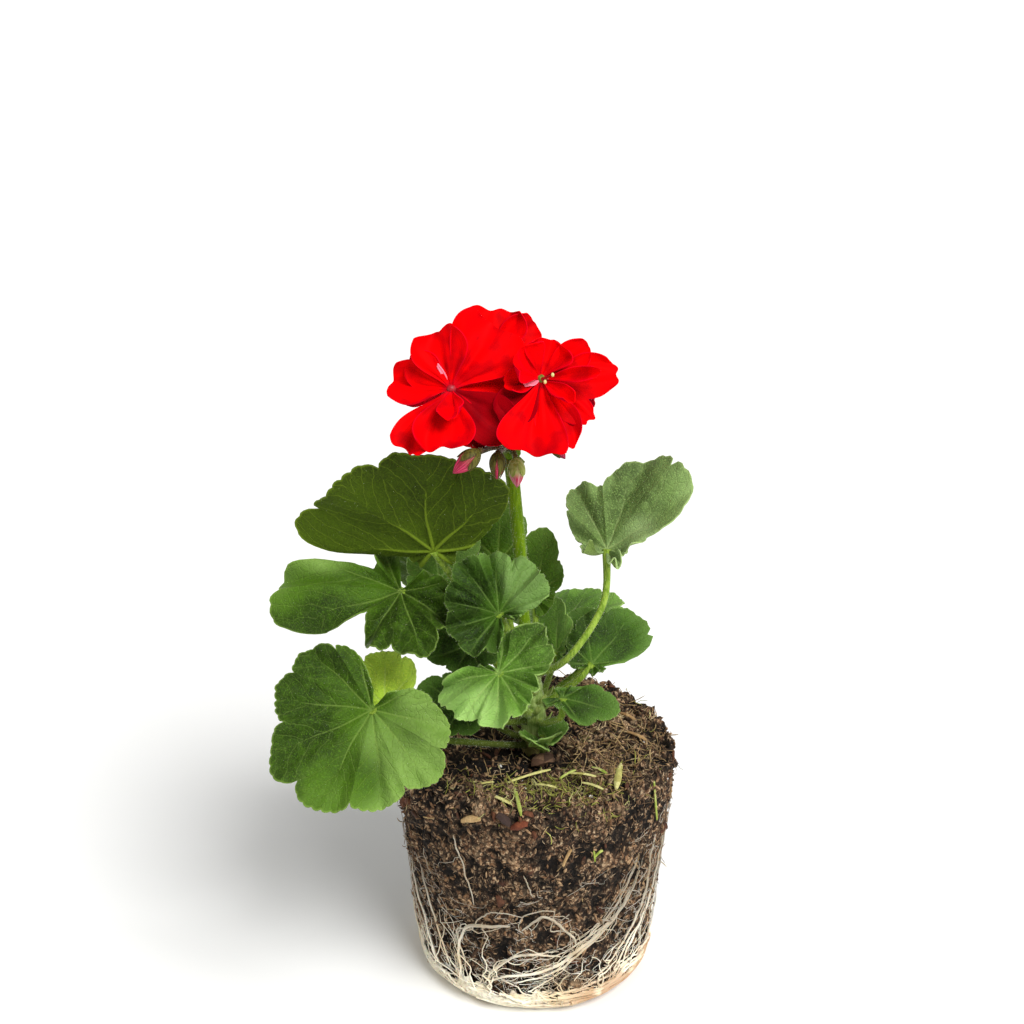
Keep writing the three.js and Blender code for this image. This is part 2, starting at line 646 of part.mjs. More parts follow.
// The net of pale roots: a mat round the bottom edge, its top uneven, and roots that leave it
function makeRootNet() {
  const random = seeded(rootSeed);
  const outline = [];
  for (const z of matHeights) {
    outline.push(new THREE.Vector2(ballRadius(z) + crumbRelief + matStandOff + matWidth, z - matSlope));
  }
  for (const z of [...matHeights].reverse()) {
    outline.push(new THREE.Vector2(ballRadius(z) + crumbRelief + matStandOff, z));
  }
  outline.push(outline[0].clone());
  const ring = new THREE.LatheGeometry(outline, matSides);
  ring.rotateX(Math.PI / 2);
  const position = ring.getAttribute('position');
  for (let i = 0; i < position.count; i += 1) {
    const turn = Math.atan2(position.getY(i), position.getX(i));
    const z = position.getZ(i);
    if (z > matHeights[1]) position.setZ(i, z + 1.6 * Math.sin(3 * turn) + Math.sin(8 * turn + 1));
  }
  const pieces = [ring];
  for (let i = 0; i < rootCount; i += 1) {
    const turn = ((i + 0.7 * random()) / rootCount) * 2 * Math.PI;
    const climb = leastClimb + moreClimb * random() * random();
    const lean = (random() - 0.5) * rootLean;
    pieces.push(rod(rootLine(random, turn, climb, lean), rootRadius, 4, rootSteps));
  }
  return finished('root_net', joined(pieces), colours.root);
}

// The short main stem, swollen where leaves join it
function makeStem() {
  const profile = [new THREE.Vector2(0, stemDepth)];
  for (const z of evenly(stemDepth, stemHeight, stemRings)) {
    const swelling = stemSwelling * (Math.sin(z * stemRingPace) - 1);
    profile.push(new THREE.Vector2(stemAt(z).radius + swelling, z));
  }
  profile.push(new THREE.Vector2(0, stemHeight));
  const lathe = new THREE.LatheGeometry(profile, 12);
  lathe.rotateX(Math.PI / 2);
  const position = lathe.getAttribute('position');
  for (let i = 0; i < position.count; i += 1) {
    const { centre } = stemAt(position.getZ(i));
    position.setX(i, position.getX(i) + centre.x);
  }
  return finished('stem', toGeometry(toSolid(lathe)), colours.stem);
}

// A little shoot beside the foot of the stem: a short stalk with three small young blades,
// each set by its heading and pitch and held by an arm
const shoot = {
  at: [2.5, -10.5, 93],
  blades: [[-150, 30], [-60, 35], [20, 20]],
  radius: 1.4,
  from: -3,
  to: 5,
  armRadius: 0.8,
  armReach: 2.6,
  bladeStart: 2,
  firstArm: 1.5,
};
const youngBlade = {
  span: 140, lobes: 3,
  reach: [3, 6, 8, 8.5, 8, 6, 3],
  cup: 0.25, wave: 0, waves: 1, phase: 0,
  folds: [],
};

function makeBasalShoot() {
  const surface = (share, angle) => bladePoint(youngBlade, share, angle);
  const columns = evenly(-rad(youngBlade.span), rad(youngBlade.span), 6);
  const pieces = [];
  shoot.blades.forEach(([heading, pitch], i) => {
    const out = new THREE.Vector3(Math.cos(rad(heading)), Math.sin(rad(heading)), 0);
    const height = new THREE.Vector3(0, 0, shoot.firstArm + i);
    const start = out.clone().multiplyScalar(shoot.bladeStart).add(height);
    const end = out.clone().multiplyScalar(shoot.armReach).add(height);
    const blade = thickSheet(surface, [0, 0.5, 1], columns, bladeThickness);
    pieces.push(turned(blade, [heading, pitch, 0]).translate(...start));
    pieces.push(rod([height.clone().setZ(height.z - shoot.armRadius), end], shoot.armRadius, 5, 1));
  });
  const middle = shoot.from + (shoot.to - shoot.from) / 2;
  const marks = [shoot.from, middle, shoot.to].map((z) => new THREE.Vector3(0, 0, z));
  const stalk = rod(marks, shoot.radius, 6, 3);
  const mesh = finished('basal_shoot', joined([stalk, ...pieces]), colours.youngLeaf);
  mesh.position.set(...shoot.at);
  return mesh;
}

const plant = new THREE.Group();
plant.add(makeSoil());
plant.add(makeRootNet());
plant.add(makeStem());
plant.add(makeFlowerStalk());
plant.add(makeUmbel());
plant.add(makeBasalShoot());
for (const leaf of leaves) plant.add(makeLeaf(leaf));
for (const floret of florets) plant.add(makeFloret(floret));
for (const bud of buds) plant.add(makeBud(bud));

export default plant;
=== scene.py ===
import math

import bpy
import numpy as np
from mathutils import Euler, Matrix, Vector, noise


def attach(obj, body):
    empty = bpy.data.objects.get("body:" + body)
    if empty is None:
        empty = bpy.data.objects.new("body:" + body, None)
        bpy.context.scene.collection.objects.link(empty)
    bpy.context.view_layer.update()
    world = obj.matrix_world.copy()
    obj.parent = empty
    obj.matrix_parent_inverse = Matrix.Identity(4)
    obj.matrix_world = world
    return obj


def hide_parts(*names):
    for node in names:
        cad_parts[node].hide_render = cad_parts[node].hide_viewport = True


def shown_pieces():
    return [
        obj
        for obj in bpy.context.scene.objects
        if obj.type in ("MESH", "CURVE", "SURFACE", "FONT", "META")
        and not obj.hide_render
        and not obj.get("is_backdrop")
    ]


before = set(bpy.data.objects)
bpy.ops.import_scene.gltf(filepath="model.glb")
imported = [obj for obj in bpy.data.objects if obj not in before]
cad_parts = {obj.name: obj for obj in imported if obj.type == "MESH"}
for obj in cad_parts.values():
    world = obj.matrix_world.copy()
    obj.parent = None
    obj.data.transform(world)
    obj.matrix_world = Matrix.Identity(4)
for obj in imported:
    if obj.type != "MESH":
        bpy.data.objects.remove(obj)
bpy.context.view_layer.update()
mm = 0.001  # sizes below are in millimetres


# Colours as seen on screen, 0 to 255, made linear for the shader
def paint(red, green, blue):
    tones = (red, green, blue)
    return (*[c / 255 / 12.92 if c < 10.3 else ((c / 255 + 0.055) / 1.055) ** 2.4 for c in tones], 1.0)


# A tone lighter or darker than a given one
def shaded(tone, factor):
    return paint(*[min(255, c * factor) for c in tone])


def deselectAll():
    bpy.ops.object.select_all(action="DESELECT")


def makeActive(piece):
    deselectAll()
    piece.select_set(True)
    bpy.context.view_layer.objects.active = piece


def readPoints(piece):
    flat = np.empty(len(piece.data.vertices) * 3, np.float32)
    piece.data.vertices.foreach_get("co", flat)
    return flat.reshape(-1, 3).astype(float) / mm


def writePoints(piece, points):
    piece.data.vertices.foreach_set("co", np.ascontiguousarray(points * mm, np.float32).ravel())
    piece.data.update()


def readNormals(piece):
    flat = np.empty(len(piece.data.vertices) * 3, np.float32)
    piece.data.vertices.foreach_get("normal", flat)
    return flat.reshape(-1, 3).astype(float)


def storeNumbers(piece, name, values):
    held = piece.data.attributes.new(name, "FLOAT", "POINT")
    held.data.foreach_set("value", np.ascontiguousarray(values, np.float32))


def storeVectors(piece, name, values):
    held = piece.data.attributes.new(name, "FLOAT_VECTOR", "POINT")
    held.data.foreach_set("vector", np.ascontiguousarray(values, np.float32).ravel())


def readVectors(piece, name):
    flat = np.empty(len(piece.data.vertices) * 3, np.float32)
    piece.data.attributes[name].data.foreach_get("vector", flat)
    return flat.reshape(-1, 3).astype(float)


def around(turn, radius, height):
    return np.stack([radius * np.cos(turn), radius * np.sin(turn), height], -1)


# A new object from one of the ready shapes
def added(shape, **settings):
    deselectAll()
    shape(**settings)
    return bpy.context.object


def turned(piece, turn, at=0.0):
    writePoints(piece, readPoints(piece) @ turn.T + at)


# A flat grid whose points are then set by place(u, v), both from 0 to 1
def gridPiece(name, columns, rows, place):
    piece = added(bpy.ops.mesh.primitive_grid_add, x_subdivisions=columns, y_subdivisions=rows, size=2)
    piece.name = name
    flat = readPoints(piece) * mm
    u, v = np.clip((flat[:, 0] + 1) / 2, 0, 1), np.clip((flat[:, 1] + 1) / 2, 0, 1)
    writePoints(piece, place(u, v))
    return piece, u, v


def mergeDoubles(piece):
    makeActive(piece)
    bpy.ops.object.mode_set(mode="EDIT")
    bpy.ops.mesh.select_all(action="SELECT")
    bpy.ops.mesh.remove_doubles(threshold=1e-6)
    bpy.ops.object.mode_set(mode="OBJECT")


def coat(piece, *materials):
    for material in materials:
        piece.data.materials.append(material)


# Gives a sheet its upper and under material and its thickness, half to each side
def thicken(piece, thickness, upper, under):
    coat(piece, upper, under)
    makeActive(piece)
    wall = piece.modifiers.new("thickness", "SOLIDIFY")
    wall.thickness = thickness * mm
    wall.offset = 0
    wall.material_offset = 1  # the second material goes on the under side
    bpy.ops.object.modifier_apply(modifier=wall.name)


def smooth(piece, degrees=50):
    makeActive(piece)
    bpy.ops.object.shade_smooth_by_angle(angle=math.radians(degrees))


def joinPieces(name, pieces):
    deselectAll()
    for piece in pieces:
        piece.select_set(True)
    bpy.context.view_layer.objects.active = pieces[0]
    if len(pieces) > 1:
        bpy.ops.object.join()
    pieces[0].name = name
    return pieces[0]


def settle(piece, slotName, *nodes):
    piece.data.name = piece.name
    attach(piece, "root")
    if nodes:
        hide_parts(*nodes)


# Round threads along lines of points, thinned point by point, as one curve made a mesh
def threadPiece(name, lines, material, sides=4):
    deselectAll()
    curve = bpy.data.curves.new(name, "CURVE")
    curve.dimensions = "3D"
    curve.bevel_depth = mm
    curve.bevel_resolution = (sides - 4) // 2
    curve.use_fill_caps = True
    for points, radii in lines:
        spline = curve.splines.new("POLY")
        spline.points.add(len(points) - 1)
        places = np.column_stack([points * mm, np.ones(len(points))]).astype(np.float32)
        spline.points.foreach_set("co", places.ravel())
        spline.points.foreach_set("radius", np.broadcast_to(radii, len(points)).astype(np.float32).copy())
    piece = bpy.data.objects.new(name, curve)
    bpy.context.scene.collection.objects.link(piece)
    makeActive(piece)
    bpy.ops.object.convert(target="MESH")
    piece = bpy.context.object
    coat(piece, material)
    return piece


# A smooth line through given points, as the stalks run
def smoothLine(points, perSpan):
    points = [np.array(p, float) for p in points]
    padded = [2 * points[0] - points[1], *points, 2 * points[-1] - points[-2]]
    line = []
    for i in range(1, len(padded) - 2):
        before, start, end, after = padded[i - 1:i + 3]
        gaps = [max(np.linalg.norm(b - a), 1e-6) ** 0.5
                for a, b in ((before, start), (start, end), (end, after))]
        out = (start - before) / gaps[0] - (end - before) / (gaps[0] + gaps[1]) + (end - start) / gaps[1]
        back = (end - start) / gaps[1] - (after - start) / (gaps[1] + gaps[2]) + (after - end) / gaps[2]
        out, back = out * gaps[1], back * gaps[1]
        for t in np.linspace(0, 1, perSpan, endpoint=False):
            line.append(start + out * t + (3 * (end - start) - 2 * out - back) * t * t
                        + (2 * (start - end) + out + back) * t ** 3)
    line.append(points[-1])
    return np.array(line)


# Places whose local Z runs along a direction, spun about it and sized
def placesAlong(points, directions, spins, sizes):
    up = directions / np.linalg.norm(directions, axis=1, keepdims=True)
    helper = np.where(np.abs(up[:, 2:]) < 0.9, [[0, 0, 1.0]], [[1.0, 0, 0]])
    side = np.cross(helper, up)
    side /= np.linalg.norm(side, axis=1, keepdims=True)
    other = np.cross(up, side)
    turn = side * np.cos(spins)[:, None] + other * np.sin(spins)[:, None]
    places = np.zeros((len(points), 3, 4))
    sizes = np.asarray(sizes, float)
    if sizes.ndim == 1:
        sizes = np.repeat(sizes[:, None], 3, axis=1)
    places[:, :, 0] = turn * sizes[:, :1]
    places[:, :, 1] = np.cross(up, turn) * sizes[:, 1:2]
    places[:, :, 2] = up * sizes[:, 2:3]
    places[:, :, 3] = points
    return places


# One small shape copied to many places, as one mesh; tint tells the copies apart
def scattered(name, template, places, tints, material):
    base = readPoints(template)
    corners = np.empty(len(template.data.loops), np.int32)
    template.data.loops.foreach_get("vertex_index", corners)
    starts = np.empty(len(template.data.polygons), np.int32)
    template.data.polygons.foreach_get("loop_start", starts)
    copies = np.arange(len(places))[:, None]
    points = np.einsum("nij,kj->nki", places[:, :, :3], base) + places[:, None, :, 3]
    mesh = bpy.data.meshes.new(name)
    mesh.vertices.add(len(places) * len(base))
    mesh.vertices.foreach_set("co", (points * mm).astype(np.float32).ravel())
    corners, starts = corners[None] + copies * len(base), starts[None] + copies * len(corners)
    mesh.loops.add(corners.size)
    mesh.loops.foreach_set("vertex_index", corners.astype(np.int32).ravel())
    mesh.polygons.add(starts.size)
    mesh.polygons.foreach_set("loop_start", starts.astype(np.int32).ravel())
    mesh.update(calc_edges=True)
    mesh.validate()
    piece = bpy.data.objects.new(name, mesh)
    bpy.context.scene.collection.objects.link(piece)
    storeNumbers(piece, "tint", np.repeat(tints, len(base)))
    mesh.materials.append(material)
    return piece


# Random points on a piece's faces, spread by area and by how much each place is wanted
def pointsOn(piece, count, random, wanted):
    mesh = piece.data
    mesh.calc_loop_triangles()
    corners = np.empty(len(mesh.loop_triangles) * 3, np.int32)
    mesh.loop_triangles.foreach_get("vertices", corners)
    triangles = readPoints(piece)[corners.reshape(-1, 3)]
    edges = np.cross(triangles[:, 1] - triangles[:, 0], triangles[:, 2] - triangles[:, 0])
    area = np.linalg.norm(edges, axis=1)
    weight = area * wanted(triangles.mean(axis=1))
    chosen = random.choice(len(weight), count, p=weight / weight.sum())
    shares = random.dirichlet((1, 1, 1), count)
    return np.einsum("nk,nkj->nj", shares, triangles[chosen]), edges[chosen] / area[chosen][:, None]


# Shader nodes, with each input a value or another node's socket
def put(tree, kind, inputs=None, **settings):
    made = tree.nodes.new("ShaderNode" + kind)
    for key, value in settings.items():
        setattr(made, key, value)
    for key, value in (inputs or {}).items():
        if isinstance(value, bpy.types.NodeSocket):
            tree.links.new(value, made.inputs[key])
        else:
            made.inputs[key].default_value = value
    return made


def mixed(tree, share, first, second):
    return put(tree, "Mix", {0: share, 6: first, 7: second}, data_type="RGBA").outputs[2]


def ranged(tree, value, low, high, newLow=0.0, newHigh=1.0):
    inputs = {"Value": value, "From Min": low, "From Max": high, "To Min": newLow, "To Max": newHigh}
    return put(tree, "MapRange", inputs, interpolation_type="SMOOTHSTEP").outputs[0]


def maths(tree, operation, first, second=0.0):
    return put(tree, "Math", {0: first, 1: second}, operation=operation).outputs[0]


def times(tree, first, second):
    return maths(tree, "MULTIPLY", first, second)


def objectPlace(tree):
    return put(tree, "TexCoord").outputs["Object"]


def heldNumber(tree, name):
    return put(tree, "Attribute", attribute_name=name).outputs["Fac"]


def heldParts(tree, name):
    held = put(tree, "Attribute", attribute_name=name).outputs["Vector"]
    return put(tree, "SeparateXYZ", {0: held}).outputs


def noisy(tree, place, scale, detail=2.0, rough=0.5):
    inputs = {"Vector": place, "Scale": scale, "Detail": detail, "Roughness": rough}
    return put(tree, "TexNoise", inputs).outputs[0]


# Settings are the shader's own, with a low line for each space
def newMaterial(name, **settings):
    material = bpy.data.materials.new(name)
    material.use_nodes = True
    shader = material.node_tree.nodes["Principled BSDF"]
    for socket, value in settings.items():
        shader.inputs[socket.replace("_", " ")].default_value = value
    return material, material.node_tree


def finished(material, colour, height=None, depth=0.0, strength=1.0):
    tree = material.node_tree
    shader = tree.nodes["Principled BSDF"]
    tree.links.new(colour, shader.inputs["Base Color"])
    if depth:
        bump = put(tree, "Bump", {"Height": height, "Distance": depth * mm, "Strength": strength})
        tree.links.new(bump.outputs[0], shader.inputs["Normal"])
    return material


# Lays a tone over a colour, by how far a value lies between two bounds
def over(tree, colour, tone, value, low, high, newLow=0.0, newHigh=1.0):
    return mixed(tree, ranged(tree, value, low, high, newLow, newHigh), colour, tone)


# Tones spread evenly over a share from 0 to 1
def ramped(tree, share, tones):
    ramp = put(tree, "ValToRGB", {0: share})
    elements = ramp.color_ramp.elements
    elements[0].color = paint(*tones[0])
    elements[1].color = paint(*tones[-1])
    for i in range(1, len(tones) - 1):
        elements.new(i / (len(tones) - 1)).color = paint(*tones[i])
    return ramp.outputs[0]


# A plain look that drifts between two tones
def makeDriftMaterial(name, rough, scale, first, second):
    material, tree = newMaterial(name, Roughness=rough)
    drift = noisy(tree, objectPlace(tree), scale)
    return finished(material, mixed(tree, drift, paint(*first), paint(*second)))


# The camera stands where the photograph was taken, a little above the flowers
camera = {"place": (-8.55, -465.2, 364.3), "down": 21.5, "lens": 50.5}
bpy.ops.object.camera_add(location=Vector(camera["place"]) * mm,
                          rotation=(math.radians(90 - camera["down"]), 0, 0))
bpy.context.scene.camera = bpy.context.object
bpy.context.object.data.lens = camera["lens"]
bpy.context.object.data.clip_start = 0.01

studio = {
    "floorSize": 60, "tones": [(236, 236, 234), (244, 244, 242)],
    "sky": 0.5, "sun": 3.5, "sunSoftness": 34, "sunTurn": (40, 12, 26),
}
floor = added(bpy.ops.mesh.primitive_plane_add, size=studio["floorSize"], location=(0, 0, 0))
floor.name = "floor"
coat(floor, makeDriftMaterial("paleFloor", 0.9, 3.0, *studio["tones"]))
floor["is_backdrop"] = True
deselectAll()
bpy.ops.object.light_add(type="SUN", rotation=[math.radians(turn) for turn in studio["sunTurn"]])
bpy.context.object.data.energy = studio["sun"]
bpy.context.object.data.angle = math.radians(studio["sunSoftness"])
world = bpy.data.worlds.new("studio")
bpy.context.scene.world = world
world.use_nodes = True
world.node_tree.nodes["Background"].inputs["Color"].default_value = (1, 1, 1, 1)
world.node_tree.nodes["Background"].inputs["Strength"].default_value = studio["sky"]
bpy.context.scene.view_settings.view_transform = "Standard"
print("camera, floor and lights are set")


# Leaf colours: upper side deep and light, its veins, then the under side and its veins
leafLooks = {
    "mid": [(44, 74, 6), (68, 100, 18), (122, 148, 66), (82, 106, 36), (128, 150, 70)],
    # dark: a deeper green, partly the leaves' own, partly painted shade for the leaves that lie under
    # others
    "dark": [(34, 60, 8), (60, 92, 22), (108, 136, 62), (76, 100, 36), (118, 140, 66)],
    "bright": [(66, 102, 26), (98, 136, 50), (150, 176, 96), (106, 136, 50), (156, 180, 90)],
    # young: a pale yellow-green, the leaf's own, brightened with painted light as it is lit from behind
    "young": [(142, 182, 30), (170, 206, 62), (192, 216, 110), (164, 198, 64), (190, 210, 104)],
    "grey": [(76, 100, 44), (116, 142, 78), (150, 170, 106), (116, 140, 68), (150, 170, 94)],
    "olive": [(48, 72, 8), (74, 98, 24), (120, 140, 60), (60, 80, 2), (112, 134, 30)],
}
veinSpacing = 6.5  # side veins leave the main ones this far apart
veinSlant = 1.28  # and run out at 38 degrees to them
veinAcross = 0.616


def makeBladeMaterial(name, deep, light, veins, upper, zoned=0.3):
    material, tree = newMaterial(
        name, Roughness=0.5 if upper else 0.65, Specular_IOR_Level=0.12,
        Sheen_Weight=0.04, Sheen_Roughness=0.4, Sheen_Tint=paint(215, 235, 160))
    place = objectPlace(tree)
    flat = put(tree, "Attribute", attribute_name="flatPlace").outputs["Vector"]
    share = heldNumber(tree, "share")
    along, across, shift = heldParts(tree, "veinPlace")
    wobble = put(tree, "TexNoise", {"Vector": flat, "Scale": 0.22, "Detail": 2.0}).outputs["Color"]
    bent = put(tree, "VectorMath", {0: flat, 1: wobble}, operation="ADD").outputs[0]
    waver = times(tree, noisy(tree, flat, 0.16), 5.0)
    width = ranged(tree, along, 0.0, 34.0, 0.46, 0.1)
    mainVein = ranged(tree, maths(tree, "DIVIDE", across, width), 0.4, 1.4, 1.0, 0.0)
    mainVein = times(tree, mainVein, ranged(tree, share, 0.45, 1.0, 1.0, 0.4 if upper else 0.8))
    slanted = maths(tree, "SUBTRACT", along, times(tree, across, veinSlant))
    slanted = maths(tree, "ADD", maths(tree, "ADD", slanted, shift), waver)
    nearest = times(tree, maths(tree, "PINGPONG", slanted, veinSpacing / 2), veinAcross)
    sideVein = ranged(tree, nearest, 0.04, 0.3, 1.0, 0.0)
    sideVein = times(tree, sideVein, ranged(tree, along, 4.0, 14.0))
    cells = put(tree, "TexVoronoi", {"Vector": bent, "Scale": 0.5},
                feature="DISTANCE_TO_EDGE").outputs["Distance"]
    net = ranged(tree, cells, 0.01, 0.12, 1.0, 0.0)
    blotch = noisy(tree, place, 22.0, 2.0)
    mottle = noisy(tree, place, 260.0, 3.0, 0.6)
    grain = noisy(tree, place, 1900.0, 2.0, 0.7)
    colour = mixed(tree, ranged(tree, blotch, 0.3, 0.7), paint(*deep), paint(*light))
    zone = maths(tree, "ADD", share, times(tree, noisy(tree, flat, 0.12), 0.2))
    ring = times(tree, ranged(tree, zone, 0.32, 0.55), ranged(tree, zone, 0.68, 0.9, 1.0, 0.0))
    colour = mixed(tree, times(tree, ring, zoned), colour, shaded(deep, 0.5))
    margin = ranged(tree, share, 0.72, 1.0, 0.0, zoned * 0.7)
    colour = mixed(tree, margin, colour, paint(*[c * 1.1 + 34 for c in light]))
    # painted light and shade: darker where the blade turns from the light, paler where it faces it
    pale = heldNumber(tree, "pale")
    colour = over(tree, colour, shaded(deep, 0.55), pale, 0.0, -1.0, 0.0, 0.8)
    colour = over(tree, colour, paint(*[c + 58 for c in light]), pale, 0.0, 1.0, 0.0, 0.85)
    colour = over(tree, colour, shaded(light, 1.15), mottle, 0.4, 0.75, 0.0, 0.3)
    # fine pale specks: painted glints of the down's hairs
    colour = over(tree, colour, shaded(light, 1.5), grain, 0.5, 0.72, 0.0, 0.34)
    colour = mixed(tree, times(tree, net, 0.07), colour, paint(*veins))
    colour = mixed(tree, times(tree, sideVein, 0.16 if upper else 0.34), colour, paint(*veins))
    colour = mixed(tree, times(tree, mainVein, 0.42 if upper else 0.7), colour, paint(*veins))
    colour = over(tree, colour, shaded(veins, 1.15), share, 0.975, 1.0, 0.0, 0.4)
    lines = maths(tree, "ADD", times(tree, sideVein, 0.5), times(tree, net, 0.4))
    height = times(tree, lines, -1.0 if upper else 1.0)
    height = maths(tree, "ADD", height, times(tree, grain, 1.1))
    return finished(material, colour, height, 0.3, 0.9)


def makeStalkMaterial(name, base, light, footTintAndShade, footTintAndShadeHeights):
    material, tree = newMaterial(name, Roughness=0.5, Specular_IOR_Level=0.12,
                                 Sheen_Weight=0.04, Sheen_Tint=paint(225, 238, 195))
    place = objectPlace(tree)
    height = put(tree, "SeparateXYZ", {0: place}).outputs[2]
    streak = put(tree, "Mapping", {"Vector": place, "Scale": (1500, 1500, 120)}).outputs[0]
    streaks = ranged(tree, noisy(tree, streak, 1.0, 2.0), 0.35, 0.65)
    colour = mixed(tree, streaks, paint(*base), paint(*light))
    # the tone further down: the stalk's own tint, and painted shade on the shaded stalks
    colour = over(tree, colour, paint(*footTintAndShade), height, *footTintAndShadeHeights, 0.85, 0.0)
    return finished(material, colour, noisy(tree, place, 1400.0, 2.0), 0.12, 0.7)


# Green parts but the blades: two tones in streaks, the tone further down, and from where to where
# it fades, in metres above the floor
stalkLooks = {
    "leafStalk": [(104, 134, 36), (146, 172, 66), (176, 190, 110), (0.088, 0.112)],
    # shadedStalk: a darker copy of leafStalk, darkest further down: painted shade for the stalks low under
    # the left leaves
    "shadedStalk": [(92, 120, 30), (126, 150, 54), (64, 70, 30), (0.094, 0.118)],
    "flowerStalk": [(84, 116, 2), (108, 138, 10), (128, 150, 60), (0.12, 0.14)],
    "pedicel": [(74, 40, 22), (92, 76, 34), (110, 126, 50), (0.203, 0.209)],
    "stem": [(128, 152, 76), (166, 186, 112), (104, 86, 50), (0.088, 0.1)],
    "stipule": [(128, 150, 66), (168, 182, 104), (150, 132, 84), (0.088, 0.1)],
    "shoot": [(88, 112, 36), (116, 138, 52), (58, 48, 30), (0.09, 0.096)],
    "sepal": [(96, 104, 40), (128, 138, 60), (120, 70, 40), (0.19, 0.2)],
    "olive": [(62, 56, 20), (92, 88, 34), (100, 60, 36), (0.19, 0.2)],
    "pale": [(150, 164, 70), (196, 204, 124), (150, 90, 70), (0.19, 0.2)],
}
greens = {name: makeStalkMaterial(name + "Green", *look) for name, look in stalkLooks.items()}


